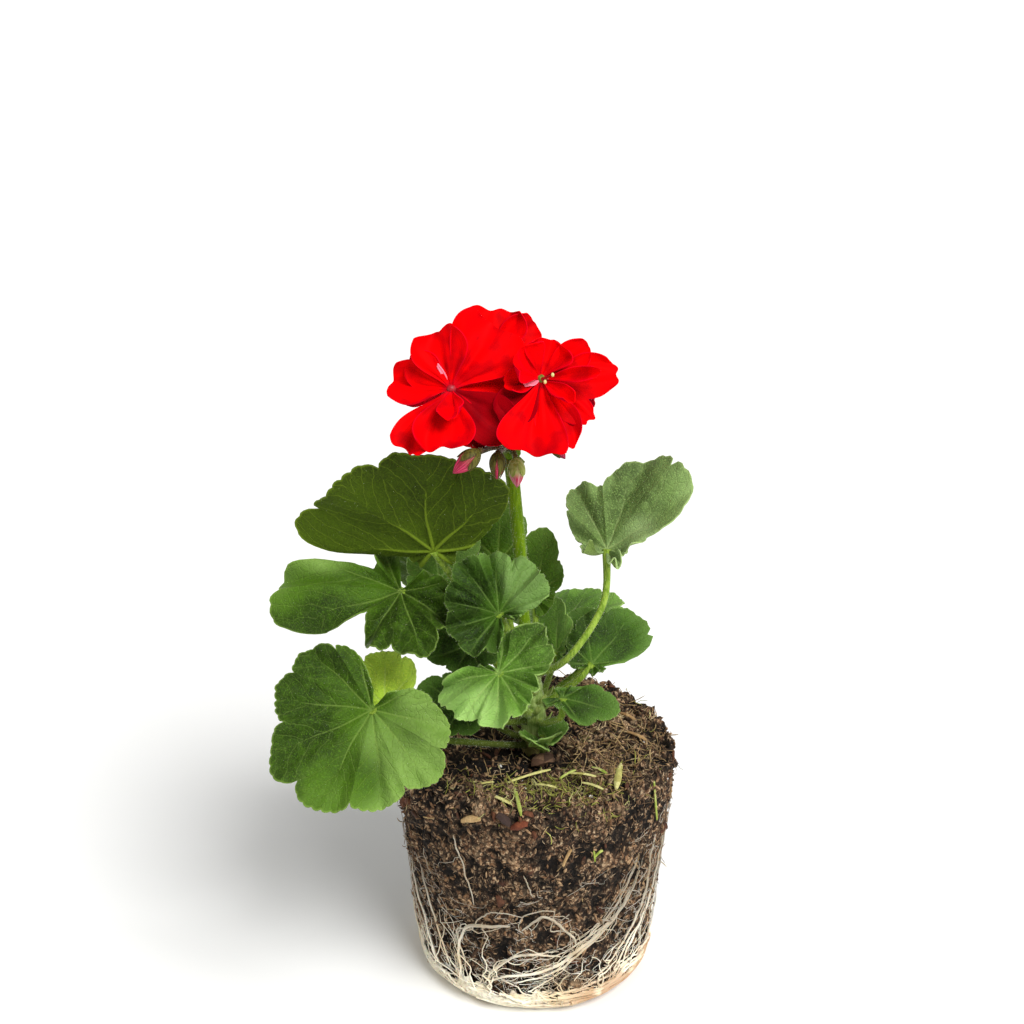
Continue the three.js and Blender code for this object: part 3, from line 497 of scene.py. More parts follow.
# The leaves stand where the frame has them: junction of blade and stalk, midrib heading, pitch and
# roll, reach of the edge in even steps round the blade, the points that the stalk bends through, and
# the height at which it joins the stem; folds are a heading, a start, a length and an angle
plainLeaf = {
    "span": 158, "lobes": 7, "look": "dark", "cup": 0.1, "wave": 0.03, "waves": 3, "phase": 0,
    "folds": [], "frill": 0.015, "pleat": 0.03, "paintedLight": (0.5, 0.2, 0.6, 0.0, 0.5),
}
leafForms = {
    "leaf_front_left_low": {
        "at": (-55, -46, 128.7), "turn": (-133, -48, -30), "lobes": 9, "look": "mid",
        "reach": (6, 22, 29, 31, 31, 38, 36, 33, 31, 32, 26, 19, 9),
        "cup": 0.14, "waves": 5, "phase": 40, "folds": [(-90, 14, 18, -22)],
        "paintedLight": (1.2, 0.0, -0.55, 0.05, 1.6), "frill": 0.022, "pleat": 0.06,
        "stalk": [(-49, -38, 116), (-22, -17, 99)], "joins": 90,
    },
    "leaf_left_middle": {
        "at": (-46.6, -18, 159), "turn": (-123, -35, -21), "span": 150, "look": "mid",
        "reach": (22, 18, 13, 39, 43, 17, 23, 25, 26, 22, 17, 16, 11),
        "cup": 0.12, "wave": 0.05, "folds": [(-60, 16, 20, -30)],
        "paintedLight": (-0.3, 0.0, 2.4, -0.62, 1.7), "frill": 0.06, "pleat": 0.12,
        "stalk": [(-41, -8, 148), (-19, 1, 128)], "joins": 113,
    },
    "leaf_left_upright": {
        "at": (-34.9, -20, 175.2), "turn": (-115, 74, 19), "look": "olive",
        "reach": (7, 8, 15, 48, 40, 40, 36, 37, 35, 17, 9, 8, 7),
        "cup": 0.05, "waves": 4, "phase": 60, "folds": [(180, 2, 7, 70)],
        "paintedLight": (-0.1, 0.0, -0.9, -0.15, 0.7),
        "stalk": [(-29, -15, 163), (-13, -7, 140)], "joins": 118,
    },
    "leaf_centre_dark": {
        "at": (-12.9, -30, 156.2), "turn": (142, 37, -37), "lobes": 9,
        "reach": (5, 8, 18, 20, 20, 21, 22, 19, 18, 18, 17, 14, 6),
        "cup": 0.16, "wave": 0.04, "waves": 4,
        "paintedLight": (1.2, 0.0, 0.6, -0.1, 1.7), "frill": 0.09, "pleat": 0.19,
        "stalk": [(-10, -27, 148), (-5, -17, 126)], "joins": 112,
    },
    "leaf_front_bright": {
        "at": (-12.9, -38, 138.2), "turn": (-50, -36, 19), "lobes": 9, "look": "bright",
        "reach": (5, 8, 19, 20, 18, 19, 16, 15, 14, 21, 22, 15, 6),
        "cup": 0.18, "wave": 0.1, "phase": 20, "folds": [(100, 5, 6, 32), (-75, 8, 6, -45)],
        "paintedLight": (-0.4, 0.0, -1.0, 0.0, 1.3), "frill": 0.1, "pleat": 0.17,
        "stalk": [(-12, -33, 130), (-5, -16, 114)], "joins": 104,
    },
    "leaf_left_young": {
        "at": (-52.6, -26, 119.4), "turn": (96, 60, -5), "look": "young",
        "reach": (9, 9, 9, 9, 14, 19, 18, 18, 10, 9, 9, 9, 9),
        "wave": 0.04,
        "stalk": [(-44, -22, 112), (-20, -9, 104)], "joins": 93,
    },
    "leaf_right_low": {
        "at": (20, -8, 126), "turn": (49, 26, 38),
        "reach": (4, 4, 4, 5, 7, 26, 25, 21, 17, 13, 10, 9, 7),
        "paintedLight": (1.0, 0.0, -0.6, -0.3, 1.2), "frill": 0.03,
        "stalk": [(16, -9, 121), (9, -5, 113)], "joins": 108,
    },
    "leaf_right_shade": {
        "at": (19, 8, 120.5), "turn": (100, 54, -9), "span": 150,
        "reach": (5, 6, 8, 12, 16, 18, 18, 17, 14, 11, 8, 6, 5),
        "stalk": [(16, 7, 115), (8, 4, 109)], "joins": 104,
    },
    "leaf_right_ground": {
        "at": (9.3, -20, 118.8), "turn": (-15, -9, 29),
        "reach": (8, 6, 5, 5, 10, 16, 20, 15, 7, 5, 4, 4, 4),
        "wave": 0.04,
        "stalk": [(9, -20, 112), (6, -12, 105)], "joins": 100,
    },
    "leaf_right_tall": {
        "at": (24.5, -5, 169.2), "turn": (59, 39, 7), "look": "grey",
        "reach": (10, 10, 7, 10, 27, 39, 31, 22, 24, 15, 8, 10, 10),
        "cup": 0.3, "wave": 0.04, "folds": [(180, 2, 5, 45)],
        "paintedLight": (0.5, 0.0, -1.2, 0.3, 1.3), "frill": 0.04, "pleat": 0.07,
        "stalk": [(23.4, -10, 151), (11.5, -16, 133)], "joins": 120,
    },
    "leaf_right_small": {
        "at": (7.5, 3, 125), "turn": (82, 47, -43), "look": "bright",
        "reach": (6, 6, 6, 6, 10, 15, 20, 18, 7, 6, 6, 6, 6),
        "stalk": [(8, 2.5, 121.5), (7, 2, 119.5)], "joins": 118,
    },
    "leaf_shade_front": {
        "at": (-25.9, -24, 118.5), "turn": (-170, -12, -49),
        "reach": (10, 10, 11, 12, 15, 17, 15, 13, 12, 11, 11, 12, 11),
        "stalk": [(-23, -20, 111), (-11, -11, 104)], "joins": 100,
    },
    "leaf_shade_middle": {
        "at": (-23.3, -12, 135.5), "turn": (-126, -44, -27),
        "reach": (9, 10, 12, 16, 16, 13, 11, 10, 11, 11, 12, 12, 9),
        "stalk": [(-20, -8, 128), (-11, -4, 114)], "joins": 108,
    },
    "leaf_pale_behind": {
        "at": (-34.4, 6, 152.5), "turn": (123, 67, -30), "look": "bright",
        "reach": (10, 10, 10, 16, 21, 23, 20, 16, 13, 12, 11, 10, 10),
        "stalk": [(-29, 9, 143), (-12, 8, 122)], "joins": 108,
    },
    "leaf_behind_centre": {
        "at": (-13.5, 13, 157), "turn": (91, 70, -1), "look": "mid",
        "reach": (8, 8, 6, 7, 12, 20, 22, 20, 16, 11, 9, 8, 8),
        "stalk": [(-12, 11, 148), (-8, 8, 128)], "joins": 118,
    },
    "leaf_behind_right": {
        "at": (-1, 14, 142.5), "turn": (59, 67, 29), "look": "mid",
        "reach": (8, 8, 8, 8, 12, 17, 25, 20, 10, 8, 8, 8, 8),
        "stalk": [(0, 13, 136), (0, 9, 124)], "joins": 116,
    },
    "leaf_back_left": {
        "at": (-34, 36, 138), "turn": (140, 12, 14), "span": 156, "lobes": 9, "look": "mid",
        "reach": (10, 20, 25, 28, 29, 30, 31, 30, 29, 28, 25, 20, 10),
        "cup": 0.14, "wave": 0.05,
        "stalk": [(-30, 30, 130), (-12, 11, 112)], "joins": 103,
    },
    "leaf_back_right": {
        "at": (9, 35, 121), "turn": (58, -4, -10), "span": 156, "lobes": 9, "look": "bright",
        "reach": (9, 18, 23, 26, 27, 28, 28, 28, 27, 26, 23, 18, 9),
        "cup": 0.14, "wave": 0.05, "phase": 90,
        "stalk": [(9, 31, 114), (4, 11, 106)], "joins": 102,
    },
    "leaf_back_ground": {
        "at": (-14, 36, 111), "turn": (112, -6, 8), "span": 156,
        "reach": (7, 13, 17, 19, 20, 20, 21, 20, 20, 19, 17, 13, 7),
        "cup": 0.12, "wave": 0.05, "phase": 30,
        "stalk": [(-13, 32, 105), (-4, 12, 99)], "joins": 94,
    },
}
leafForms = {name: {**plainLeaf, **form} for name, form in leafForms.items()}
blade = {
    "thickness": 0.5, "lobeCut": 0.12, "toothCut": 0.02, "teeth": 7, "ringStep": 0.95, "edgeStep": 0.62,
}
stem = {"depth": 78, "height": 126, "footRadius": 5.5, "tipRadius": 3.2, "lean": -3}
hairs = {"points": [], "directions": [], "lengths": []}  # gathered as the stalks and blades are made
hairRandom = np.random.default_rng(3)
# How many hairs stand on each millimetre of a stalk, and their length
hairiness = {
    "leafStalk": (11, 0.75), "stem": (30, 0.8), "flowerStalk": (26, 0.9), "bud": (14, 0.6),
    "umbel": (9, 0.55),
}


def stemCentre(z):
    rise = (np.asarray(z, float) - stem["depth"]) / (stem["height"] - stem["depth"])
    return np.stack([stem["lean"] * rise * rise, 0 * rise, np.asarray(z, float) + 0 * rise], -1)


def stemRadius(z):
    rise = (z - stem["depth"]) / (stem["height"] - stem["depth"])
    return stem["footRadius"] + (stem["tipRadius"] - stem["footRadius"]) * rise


def levelDirection(heading):
    return np.array([math.cos(math.radians(heading)), math.sin(math.radians(heading)), 0])


def turnMatrix(turn):
    heading, pitch, roll = [math.radians(angle) for angle in turn]
    return np.array(Euler((roll, -pitch, heading), "XYZ").to_matrix())


def growHairs(points, directions, lengths):
    hairs["points"].append(points)
    hairs["directions"].append(directions)
    hairs["lengths"].append(lengths)


# Hairs stand out all round a stalk, this many to each millimetre of it
def growStalkHairs(line, radius, perLength, length):
    steps = np.linalg.norm(np.diff(line, axis=0), axis=1)
    count = int(steps.sum() * perLength)
    if count < 2:
        return
    chosen = hairRandom.choice(len(steps), count, p=steps / steps.sum())
    along = line[chosen + 1] - line[chosen]
    points = line[chosen] + along * hairRandom.random((count, 1))
    along /= np.linalg.norm(along, axis=1, keepdims=True)
    out = np.cross(along, hairRandom.normal(size=(count, 3)))
    out /= np.linalg.norm(out, axis=1, keepdims=True)
    lean = out + hairRandom.normal(scale=0.25, size=(count, 3))
    growHairs(points + out * radius * 0.95, lean, length * (0.6 + 0.7 * hairRandom.random(count)))


# The blade's edge: lobes and fine teeth cut into a curve through the reaches
def edgeRadius(form, angle):
    span = math.radians(form["span"])
    reach = np.array(form["reach"], float)
    last = len(reach) - 1
    place = np.clip((angle + span) / (2 * span) * last, 0, last)
    before = np.minimum(np.floor(place).astype(int), last - 1)
    part = place - before
    points = np.concatenate([[reach[0]], reach, [reach[-1]]])
    a, b, c, d = [points[before + i] for i in range(4)]
    curve = b + 0.5 * part * (c - a + part * (2 * a - 5 * b + 4 * c - d + part * (3 * (b - c) + d - a)))
    lobe = np.abs(np.cos(angle * math.pi * form["lobes"] / (2 * span)))
    tooth = np.abs(np.cos(angle * math.pi * form["lobes"] * blade["teeth"] / (2 * span)))
    uneven = 0.75 + 0.55 * np.sin(3.1 * angle + form["phase"]) * np.sin(7.7 * angle + 1)
    depth = blade["lobeCut"] * (0.7 + 0.6 * np.abs(np.sin(1.9 * angle + form["phase"])))
    cuts = depth * (1 - np.sqrt(lobe)) + blade["toothCut"] * uneven * (1 - tooth ** 0.7)
    cuts = cuts + 0.012 * np.sin(13.7 * angle + form["phase"]) * np.sin(5.3 * angle)
    return np.clip(curve, reach.min() * 0.9, reach.max() * 1.02) * (1.03 - cuts)


# Rolls the sheet up or down beyond a straight line across it
def folded(points, fold):
    toward, start, length, angle = fold
    nx, ny = math.cos(math.radians(toward)), math.sin(math.radians(toward))
    angle = math.radians(angle)
    past = points[:, 0] * nx + points[:, 1] * ny - start
    turned = angle * np.clip(past, 0, length) / length
    radius = length / angle
    straight = np.maximum(past - length, 0)
    z = points[:, 2]
    along = radius * np.sin(turned) + straight * np.cos(turned) - z * np.sin(turned)
    up = radius * (1 - np.cos(turned)) + straight * np.sin(turned) + z * np.cos(turned)
    moved = points.copy()
    beyond = past > 0
    moved[beyond, 0] += (along - past)[beyond] * nx
    moved[beyond, 1] += (along - past)[beyond] * ny
    moved[beyond, 2] = up[beyond]
    return moved


# Where a point lies among the veins: along the nearest main vein, across from it, and which side
def veinPlaces(form, radius, angle):
    step = 2 * math.radians(form["span"]) / form["lobes"]
    nearest = np.clip(np.round(angle / step), -(form["lobes"] // 2), form["lobes"] // 2)
    off = angle - nearest * step + 0.05 * np.sin(radius / 6 + 2.3 * nearest) * np.clip(radius / 12, 0, 1)
    shift = np.where(off > 0, veinSpacing / 2, 0)
    return np.stack([radius * np.cos(off), np.abs(radius * np.sin(off)), shift], -1)


def bladePoints(form, share, angle):
    size = max(form["reach"])
    radius = share * edgeRadius(form, angle)
    step = 2 * math.radians(form["span"]) / form["lobes"]
    along, across, _ = veinPlaces(form, radius, angle).T
    z = form["cup"] * radius * np.minimum(1, radius / (0.25 * size))
    z = z + form["wave"] * size * share ** 2 * np.sin(form["waves"] * angle + math.radians(form["phase"]))
    z = z + form["pleat"] * size * share * (0.5 - np.abs(np.cos(math.pi * angle / step)))
    frill = form["frill"] * size * share ** 3
    z = z + frill * (np.sin(form["lobes"] * 1.7 * angle + form["phase"])
                     + 0.5 * np.sin(form["lobes"] * 3.1 * angle))
    ribs = np.exp(-(across / 0.8) ** 2) * np.clip(1.1 - share, 0, 1)
    slanted = (along - across * veinSlant) * 2 * math.pi / veinSpacing
    quilt = (1 - np.exp(-(across / 2.5) ** 2)) * np.sin(slanted)
    pillow = 0.022 * size * share * np.abs(np.sin(math.pi * angle / step)) ** 0.7
    z = z - 0.3 * ribs + 0.18 * quilt * np.clip(share * 2, 0, 1) + pillow
    points = around(angle, radius, z)
    for fold in form["folds"]:
        points = folded(points, fold)
    return points


def makeBlade(name, form, fine=1.0):
    span = math.radians(form["span"])
    mean = sum(form["reach"]) / len(form["reach"])
    rings = max(8, round(mean / (blade["ringStep"] * fine)))
    teeth = form["lobes"] * blade["teeth"]
    perTooth = max(2, round(2 * span * mean / teeth / (blade["edgeStep"] * fine)))
    angles = lambda v: (2 * v - 1) * span
    rows = lambda u: 1 - (1 - u) ** 1.15  # rings closer together towards the edge
    shape = lambda u, v: bladePoints(form, rows(u), angles(v))
    piece, u, v = gridPiece(name, rings, teeth * perTooth, shape)
    share, angle = rows(u), angles(v)
    radius = share * edgeRadius(form, angle)
    storeNumbers(piece, "share", share)
    storeVectors(piece, "veinPlace", veinPlaces(form, radius, angle))
    storeVectors(piece, "flatPlace", around(angle, radius, 0 * angle))
    mergeDoubles(piece)
    thicken(piece, blade["thickness"], *bladeMaterials[form["look"]])
    points, normals = readPoints(piece), readNormals(piece)
    along, across, _ = readVectors(piece, "veinPlace").T
    under = np.arange(len(points)) >= len(points) // 2
    raised = 0.55 * np.exp(-(across / 0.5) ** 2) * np.clip(1 - along / 42, 0.15, 1)
    writePoints(piece, points + normals * (raised * under)[:, None])
    smooth(piece)
    return piece


# Fuzz along the blade's edge and over both its faces
def growBladeHairs(form, place, turn, perLength):
    span = math.radians(form["span"])
    count = int(2 * span * np.mean(form["reach"]) * perLength)
    angles = hairRandom.uniform(-span, span, count)
    tips = bladePoints(form, np.full(count, 0.995), angles)
    inner = bladePoints(form, np.full(count, 0.95), angles)
    out = (tips - inner) / np.linalg.norm(tips - inner, axis=1, keepdims=True)
    out = out + hairRandom.normal(scale=0.45, size=(count, 3))
    growHairs(tips @ turn.T + place, out @ turn.T, 0.35 + 0.45 * hairRandom.random(count))
    shares, angles = np.sqrt(hairRandom.random(count)), hairRandom.uniform(-span, span, count)
    sides = np.where(hairRandom.random(count) < 0.5, 1.0, -1.0)
    spots = bladePoints(form, shares, angles)
    ahead = bladePoints(form, shares + 0.01, angles) - spots
    beside = bladePoints(form, shares, angles + 0.01) - spots
    out = np.cross(ahead, beside)
    out /= np.maximum(np.linalg.norm(out, axis=1, keepdims=True), 1e-9)
    out = out * sides[:, None]
    spots = spots + out * blade["thickness"] * 0.5
    lean = out + hairRandom.normal(scale=0.4, size=(count, 3))
    growHairs(spots @ turn.T + place, lean @ turn.T, 0.3 + 0.35 * hairRandom.random(count))


bladeMaterials = {}
for look, (deep, light, veins, under, underVeins) in leafLooks.items():
    bladeMaterials[look] = [
        makeBladeMaterial(look + "Upper", deep, light, veins, True, 0.7 if look == "dark" else 0.35),
        makeBladeMaterial(look + "Under", [c * 0.8 for c in under], under, underVeins, False, 0.1),
    ]


def stalkRoute(form):
    centre = stemCentre(form["joins"])
    first, second = [np.array(p, float) for p in form["stalk"]]
    outward = (second - centre) * [1, 1, 0]
    outward /= np.linalg.norm(outward)
    foot = centre + outward * (stemRadius(form["joins"]) + 0.3)
    near = foot + outward * 2.5 + [0, 0, 0.8]
    return smoothLine([form["at"], first, second, near, foot - outward * 0.6], 9)


# Painted light and shade on the blades: each is paler to one side, as if lit there, and darker to the
# other; shares of right, front and up, the middle's paleness, and the strength
def paintedLightShare(form, spots):
    right, front, up, middle, strength = form["paintedLight"]
    size = max(form["reach"])
    toward = (spots @ [right, -front, up]) / size
    ripple = 0.25 * np.sin(spots[:, 0] / 5 + form["at"][0]) * np.sin(spots[:, 2] / 4 + form["at"][2])
    return np.clip(middle + strength * (toward + ripple), -1, 1)


for name, form in leafForms.items():
    turn, place = turnMatrix(form["turn"]), np.array(form["at"], float)
    leafBlade = makeBlade(name + "_blade", form)
    bladeSpots = readPoints(leafBlade) @ turn.T
    # painted light and shade, kept point by point for the blade's colour
    storeNumbers(leafBlade, "pale", paintedLightShare(form, bladeSpots))
    writePoints(leafBlade, bladeSpots + place)
    route = stalkRoute(form)
    route[0] += turn[:, 2] * -0.2
    ends = np.linspace(0, 1, len(route))
    radii = 1.2 + 0.5 * np.exp(-ends * 14) + 0.5 * np.exp(-(1 - ends) * 12)
    # low stalks at the left take the darker copy: painted shade
    inShade = form["joins"] < 101 and form["at"][0] < 0
    stalkLook = greens["shadedStalk" if inShade else "leafStalk"]
    stalk = threadPiece(name + "_stalk", [(route, radii)], stalkLook, 12)
    smooth(stalk)
    growStalkHairs(route, 1.2, *hairiness["leafStalk"])
    growBladeHairs(form, place, turn, 2.2)
    leaf = joinPieces(name + "_fine", [leafBlade, stalk])
    young = form["look"] in ("young", "bright") and not name.startswith("leaf_back")
    settle(leaf, "young_leaf" if young else "leaf", name)
print("leaves are grown")


# The main stem, ringed and swollen where leaves leave it, with papery stipules
def stemPlace(u, v):
    z = stem["depth"] + 4 + v * (stem["height"] - stem["depth"] - 4)
    turn = 2 * math.pi * u
    nodes = sum(np.exp(-((z - form["joins"]) / 1.6) ** 2) for form in leafForms.values())
    ribs = 0.12 * np.sin(7 * turn + z / 6) + 0.1 * np.sin(z * 1.9)
    radius = stemRadius(z) - 0.2 + 0.35 * np.minimum(nodes, 1.4) + ribs
    radius = radius * np.sqrt(np.clip((1 - v) / 0.03, 0, 1))
    return stemCentre(z) + around(turn, radius, 0 * z)


stipules = {"length": 7.5, "width": 4.6, "spread": 24, "thickness": 0.3}


def stipulePoints(u, v):
    along, across = u, 2 * v - 1
    half = stipules["width"] / 2 * (1 - along) ** 0.7 * (0.75 + 0.6 * along)
    x = stipules["length"] * along
    return np.stack([x, across * half, 1.1 * across ** 2 * (1 - along) - 0.8 * np.sin(3 * along)], -1)


stemPiece, _, _ = gridPiece("stem_fine", 48, 110, stemPlace)
coat(stemPiece, greens["stem"])
mergeDoubles(stemPiece)
smooth(stemPiece)
stemParts = [stemPiece]
for name, form in leafForms.items():
    if name.startswith("leaf_shade") or form["joins"] < 92:
        continue
    centre = stemCentre(form["joins"])
    away = (np.array(form["stalk"][1], float) - centre) * [1, 1, 0]
    heading = math.degrees(math.atan2(away[1], away[0]))
    for side in (-1, 1):
        flap, _, _ = gridPiece("stipule", 9, 8, stipulePoints)
        thicken(flap, stipules["thickness"], greens["stipule"], greens["stipule"])
        turn = turnMatrix((heading + side * stipules["spread"], 58, side * 12))
        out = levelDirection(heading + side * 28)
        spot = centre + out * (stemRadius(form["joins"]) - 0.3) - [0, 0, 1.5]
        turned(flap, turn, spot)
        smooth(flap)
        stemParts.append(flap)
stemLine = stemCentre(np.linspace(98, stem["height"], 8))
growStalkHairs(stemLine, 4.0, *hairiness["stem"])
settle(joinPieces("stem_fine", stemParts), "stem", "stem")

# The flower stalk, thick and downy, up to the knob that the head grows from
umbelAt = np.array([-9, 1, 203.0])
knobRadius = 3.4
stemTop = stemCentre(stem["height"])
flowerBends = [
    stemTop - [0, 0, 1.5], stemTop + [0, 0, 5], (-4.5, -2, 142), (-5.5, -3, 165),
    umbelAt - [0, 0, knobRadius - 0.5],
]
flowerRoute = smoothLine(flowerBends, 14)
flowerShare = np.linspace(0, 1, len(flowerRoute))
flowerRadii = 2.2 + 0.35 * flowerShare ** 6 - 0.1 * np.sin(flowerShare * 9)
flowerStalk = threadPiece("flower_stalk_fine", [(flowerRoute, flowerRadii)], greens["flowerStalk"], 20)
smooth(flowerStalk)
growStalkHairs(flowerRoute, 2.2, *hairiness["flowerStalk"])
settle(flowerStalk, "stalk", "flower_stalk")
print("stem and flower stalk are made")


# Petals: red silk, pink at the claw, more magenta on the reverse; on the face the claw is deepened with
# painted shade for the flower's heart
def makePetalMaterial(name, bright, deep, claw, streaks):
    material, tree = newMaterial(name, Roughness=0.6, Specular_IOR_Level=0.02,
                                 Sheen_Weight=0.1, Sheen_Tint=paint(255, 0, 110))
    place = objectPlace(tree)
    along, across, seed = heldParts(tree, "petalPlace")
    fan = put(tree, "CombineXYZ", {0: times(tree, across, 14.0), 1: times(tree, along, 1.2), 2: seed})
    ribs = noisy(tree, fan.outputs[0], 1.0, 3.0)
    patches = ranged(tree, noisy(tree, place, 120.0, 2.0), 0.38, 0.7)
    colour = mixed(tree, patches, paint(*bright), paint(*deep))
    colour = over(tree, colour, shaded(deep, 0.72), ribs, 0.52, 0.7, 0.0, streaks)
    # a thin pink rim along the edge: partly the petal's own tint, partly painted highlight where light
    # grazes it
    edge = ranged(tree, maths(tree, "ABSOLUTE", across), 0.96, 1.0, 0.0, 0.2)
    colour = mixed(tree, edge, colour, paint(238, 10, 60))
    colour = over(tree, colour, paint(*claw), along, 0.03, 0.14, 0.8, 0.0)
    # Petals with a seed near 20 are pink, and those with 30 lie in shade
    pink = times(tree, ranged(tree, seed, 19.0, 20.0, 0.0, 0.85), ranged(tree, seed, 20.0, 22.0, 1.0, 0.0))
    colour = mixed(tree, pink, colour, paint(250, 150, 172))
    colour = over(tree, colour, paint(96, 0, 10), seed, 24.0, 30.0, 0.0, 0.75)
    height = maths(tree, "ADD", ribs, noisy(tree, place, 900.0, 2.0))
    return finished(material, colour, height, 0.12, 0.5)


petalMaterials = [
    # the face's claw tone is dark red: painted shade at the heart of the flower
    makePetalMaterial("petalFace", (240, 0, 2), (186, 0, 6), (196, 6, 26), 0.22),
    makePetalMaterial("petalReverse", (218, 0, 26), (176, 0, 26), (226, 90, 120), 0.35),
]
# A petal's heading, pitch and roll, its length and width, its curl and cup, and how blunt its tip is;
# petaloids, the small inner ones, end with the seed of their tone; seed 30 is painted shade, and shaded
# lists the petals so painted
florets = {
    "floret_left": {
        "at": (-28.1, -22, 232.2), "facing": (-110, 18),
        "petals": [
            ((129, 68, -57), (20, 20), -10, 0.15), ((16, 50, 72), (26, 26), -12, 0.08, 0.6),
            ((14, -2, 60), (24, 24), -10, 0.1), ((155, -1, -60), (22, 15), 10, 0.1),
            ((144, 23, -74), (18, 13), 10, 0.1), ((-147, -49, -30), (26, 15), 15, 0.1, 0.5),
            ((-100, -50, -7), (23, 20), 15, 0.15, 0.5), ((-23, -56, 52), (22, 15), 10, 0.1),
        ],
        "petaloids": [
            ((-80, -44, 20), (17, 9), 50, 0.35, 3), ((132, 52, -62), (9, 1.3), 25, 0.1, 20),
            # seed 30: a dark petal in painted shade, filling the gap under the head
            ((-20, -34, 56), (26, 17), 5, 0.1, 30),
        ],
        "heart": "red", "shaded": (7,),
    },
    "floret_top": {
        "at": (-16.5, -4, 234.7), "facing": (-70, 60),
        "petals": [
            ((76, 71, 13), (20, 24), -15, 0.1), ((37, 33, 78), (23, 16), 0, 0.1),
            ((149, 35, -72), (18, 18), 0, 0.1), ((88, 24, 0), (19, 18), -20, 0.1),
            ((10, 12, 0), (16, 15), -20, 0.1),
        ],
        "heart": "red",
    },
    "floret_right": {
        "at": (0.8, -20, 234.9), "facing": (-75, 22),
        "petals": [
            ((-174, 41, -56), (14, 16), 35, 0.3), ((68, 56, 28), (13, 16), 20, 0.3),
            ((24, 28, 62), (19, 11), 10, 0.1), ((15, -1, 70), (25, 15), 15, 0.1),
            ((-17, -41, 41), (21, 12), 10, 0.1), ((-54, -57, 22), (25, 15), 15, 0.1),
            ((-103, -48, -16), (28, 23), 12, 0.12, 1.0),
        ],
        "petaloids": [
            ((-168, -8, -50), (13, 9), 20, 0.3, 3), ((-172, 4, -50), (8, 3), 20, 0.3, 20),
            # the second here, seed 30, is a dark petal in painted shade, filling the gap under the head
            ((-148, -14, -40), (7, 3), 20, 0.3, 20), ((-146, -38, -44), (20, 14), 5, 0.1, 30),
            ((-40, -30, 30), (16, 6), 30, 0.4, 4), ((-8, 6, 60), (20, 5), 15, 0.4, 5),
        ],
        "stamens": 3,
    },
    "floret_back_right": {"at": (8, 14, 224), "facing": (46, 6), "length": 15, "stamens": 7},
    "floret_back_left": {"at": (-32, 11, 225), "facing": (140, 8), "length": 16, "stamens": 7},
    "floret_back": {"at": (-13, 25, 228), "facing": (96, 24), "length": 16, "stamens": 7},
}
petalForm = {"thickness": 0.35, "columns": 26, "rows": 32, "behind": 5}
hubRadius = 2.2
antherRadius = 0.55


def petalPoints(petal, along, across):
    (heading, _, _), (length, width), curl, cup, *blunt = petal
    blunt = blunt[0] if blunt else 0.2
    widest = 0.6 + 0.3 * blunt
    swell = np.sin(math.pi / 2 * np.minimum(1, along / widest))
    taper = np.where(along > widest, 1 - (0.3 - 0.22 * blunt) * ((along - widest) / (1 - widest)) ** 2, 1)
    half = width / 2 * (0.12 + 0.88 * np.abs(swell) ** 1.4) * taper
    notch = 0.04 * length * np.exp(-(across / 0.25) ** 2) * along ** 6
    frill = length * along ** 6 * (0.03 * np.sin(2.6 * across + 2 * heading)
                                   + 0.012 * np.sin(7.5 * across + heading))
    rounding = (0.13 - 0.08 * blunt) * length * np.abs(across) ** 2.6 * along ** 2
    x = length * (0.04 + 0.96 * along) - rounding - notch - frill
    ruffle = 0.055 * width * along ** 2 * np.sin(3.2 * across + heading)
    ruffle = ruffle + 0.03 * width * along ** 2.5 * np.sin(7.5 * across + 2 * heading + 2 * along)
    ruffle = ruffle + (0.035 * width * along * np.sin(4.5 * along + heading)
                       * np.cos(2.4 * across + heading))
    ridges = 0.012 * width * np.sin(16 * across * (1.2 - 0.4 * along) + heading) * np.sin(math.pi * along)
    ridges = ridges + (0.03 * width * np.sin(6.5 * across * (1.3 - 0.6 * along) + 3 * heading)
                       * np.sin(2.6 * along))
    crease = ridges - (0.035 * width * np.exp(-((across - 0.15 * np.sin(heading)) / 0.1) ** 2)
                       * np.sin(math.pi * along))
    bowl = cup * width * across ** 2 * swell + ruffle + crease
    angle = math.radians(curl) * along
    rise = x * np.sin(angle / 2) + bowl * np.cos(angle)
    return np.stack([x * np.cos(angle / 2) - bowl * np.sin(angle), across * half, rise], -1)


def makePetal(petal, seed, fine=1.0):
    rows, columns = round(petalForm["rows"] * fine), round(petalForm["columns"] * fine)
    shape = lambda u, v: petalPoints(petal, 0.01 + 0.99 * u, 2 * v - 1)
    piece, u, v = gridPiece("petal", rows, columns, shape)
    storeVectors(piece, "petalPlace", np.stack([0.01 + 0.99 * u, 2 * v - 1, np.full(len(u), seed)], -1))
    thicken(piece, petalForm["thickness"], *petalMaterials)
    turned(piece, turnMatrix(petal[0]))
    smooth(piece, 60)
    return piece


sepals = {"length": 7, "width": 2.2, "count": 5, "open": 62, "thickness": 0.25}
sepalStep = 360 / sepals["count"]
# stamens and the red hubs: a deep red, their own colour darkened with painted shade for the flower's heart
stamenMaterial = makeDriftMaterial("stamenRed", 0.5, 900.0, (110, 0, 10), (196, 24, 44))
pollenMaterial = makeDriftMaterial("antherPale", 0.7, 1500.0, (226, 214, 150), (196, 206, 120))


# A pointed leaflet hugging a round body: sepals of flowers and buds
def sepalPoints(length, width, bulge):
    def shape(u, v):
        across = 2 * v - 1
        half = width / 2 * np.sin(math.pi * np.clip(0.12 + 0.88 * u, 0, 1)) ** 0.7
        arch = bulge * np.sin(math.pi * u ** 0.8)
        return np.stack([length * u, across * half, arch - 0.25 * width * across ** 2], -1)
    return shape


def makeSepal(shape, turn):
    piece, _, _ = gridPiece("sepal", 12, 6, shape)
    thicken(piece, sepals["thickness"], greens["sepal"], greens["sepal"])
    turned(piece, turn)
    smooth(piece)
    return piece


def facingMatrix(facing):
    heading, up = facing
    return turnMatrix((heading, up - 90, 0))


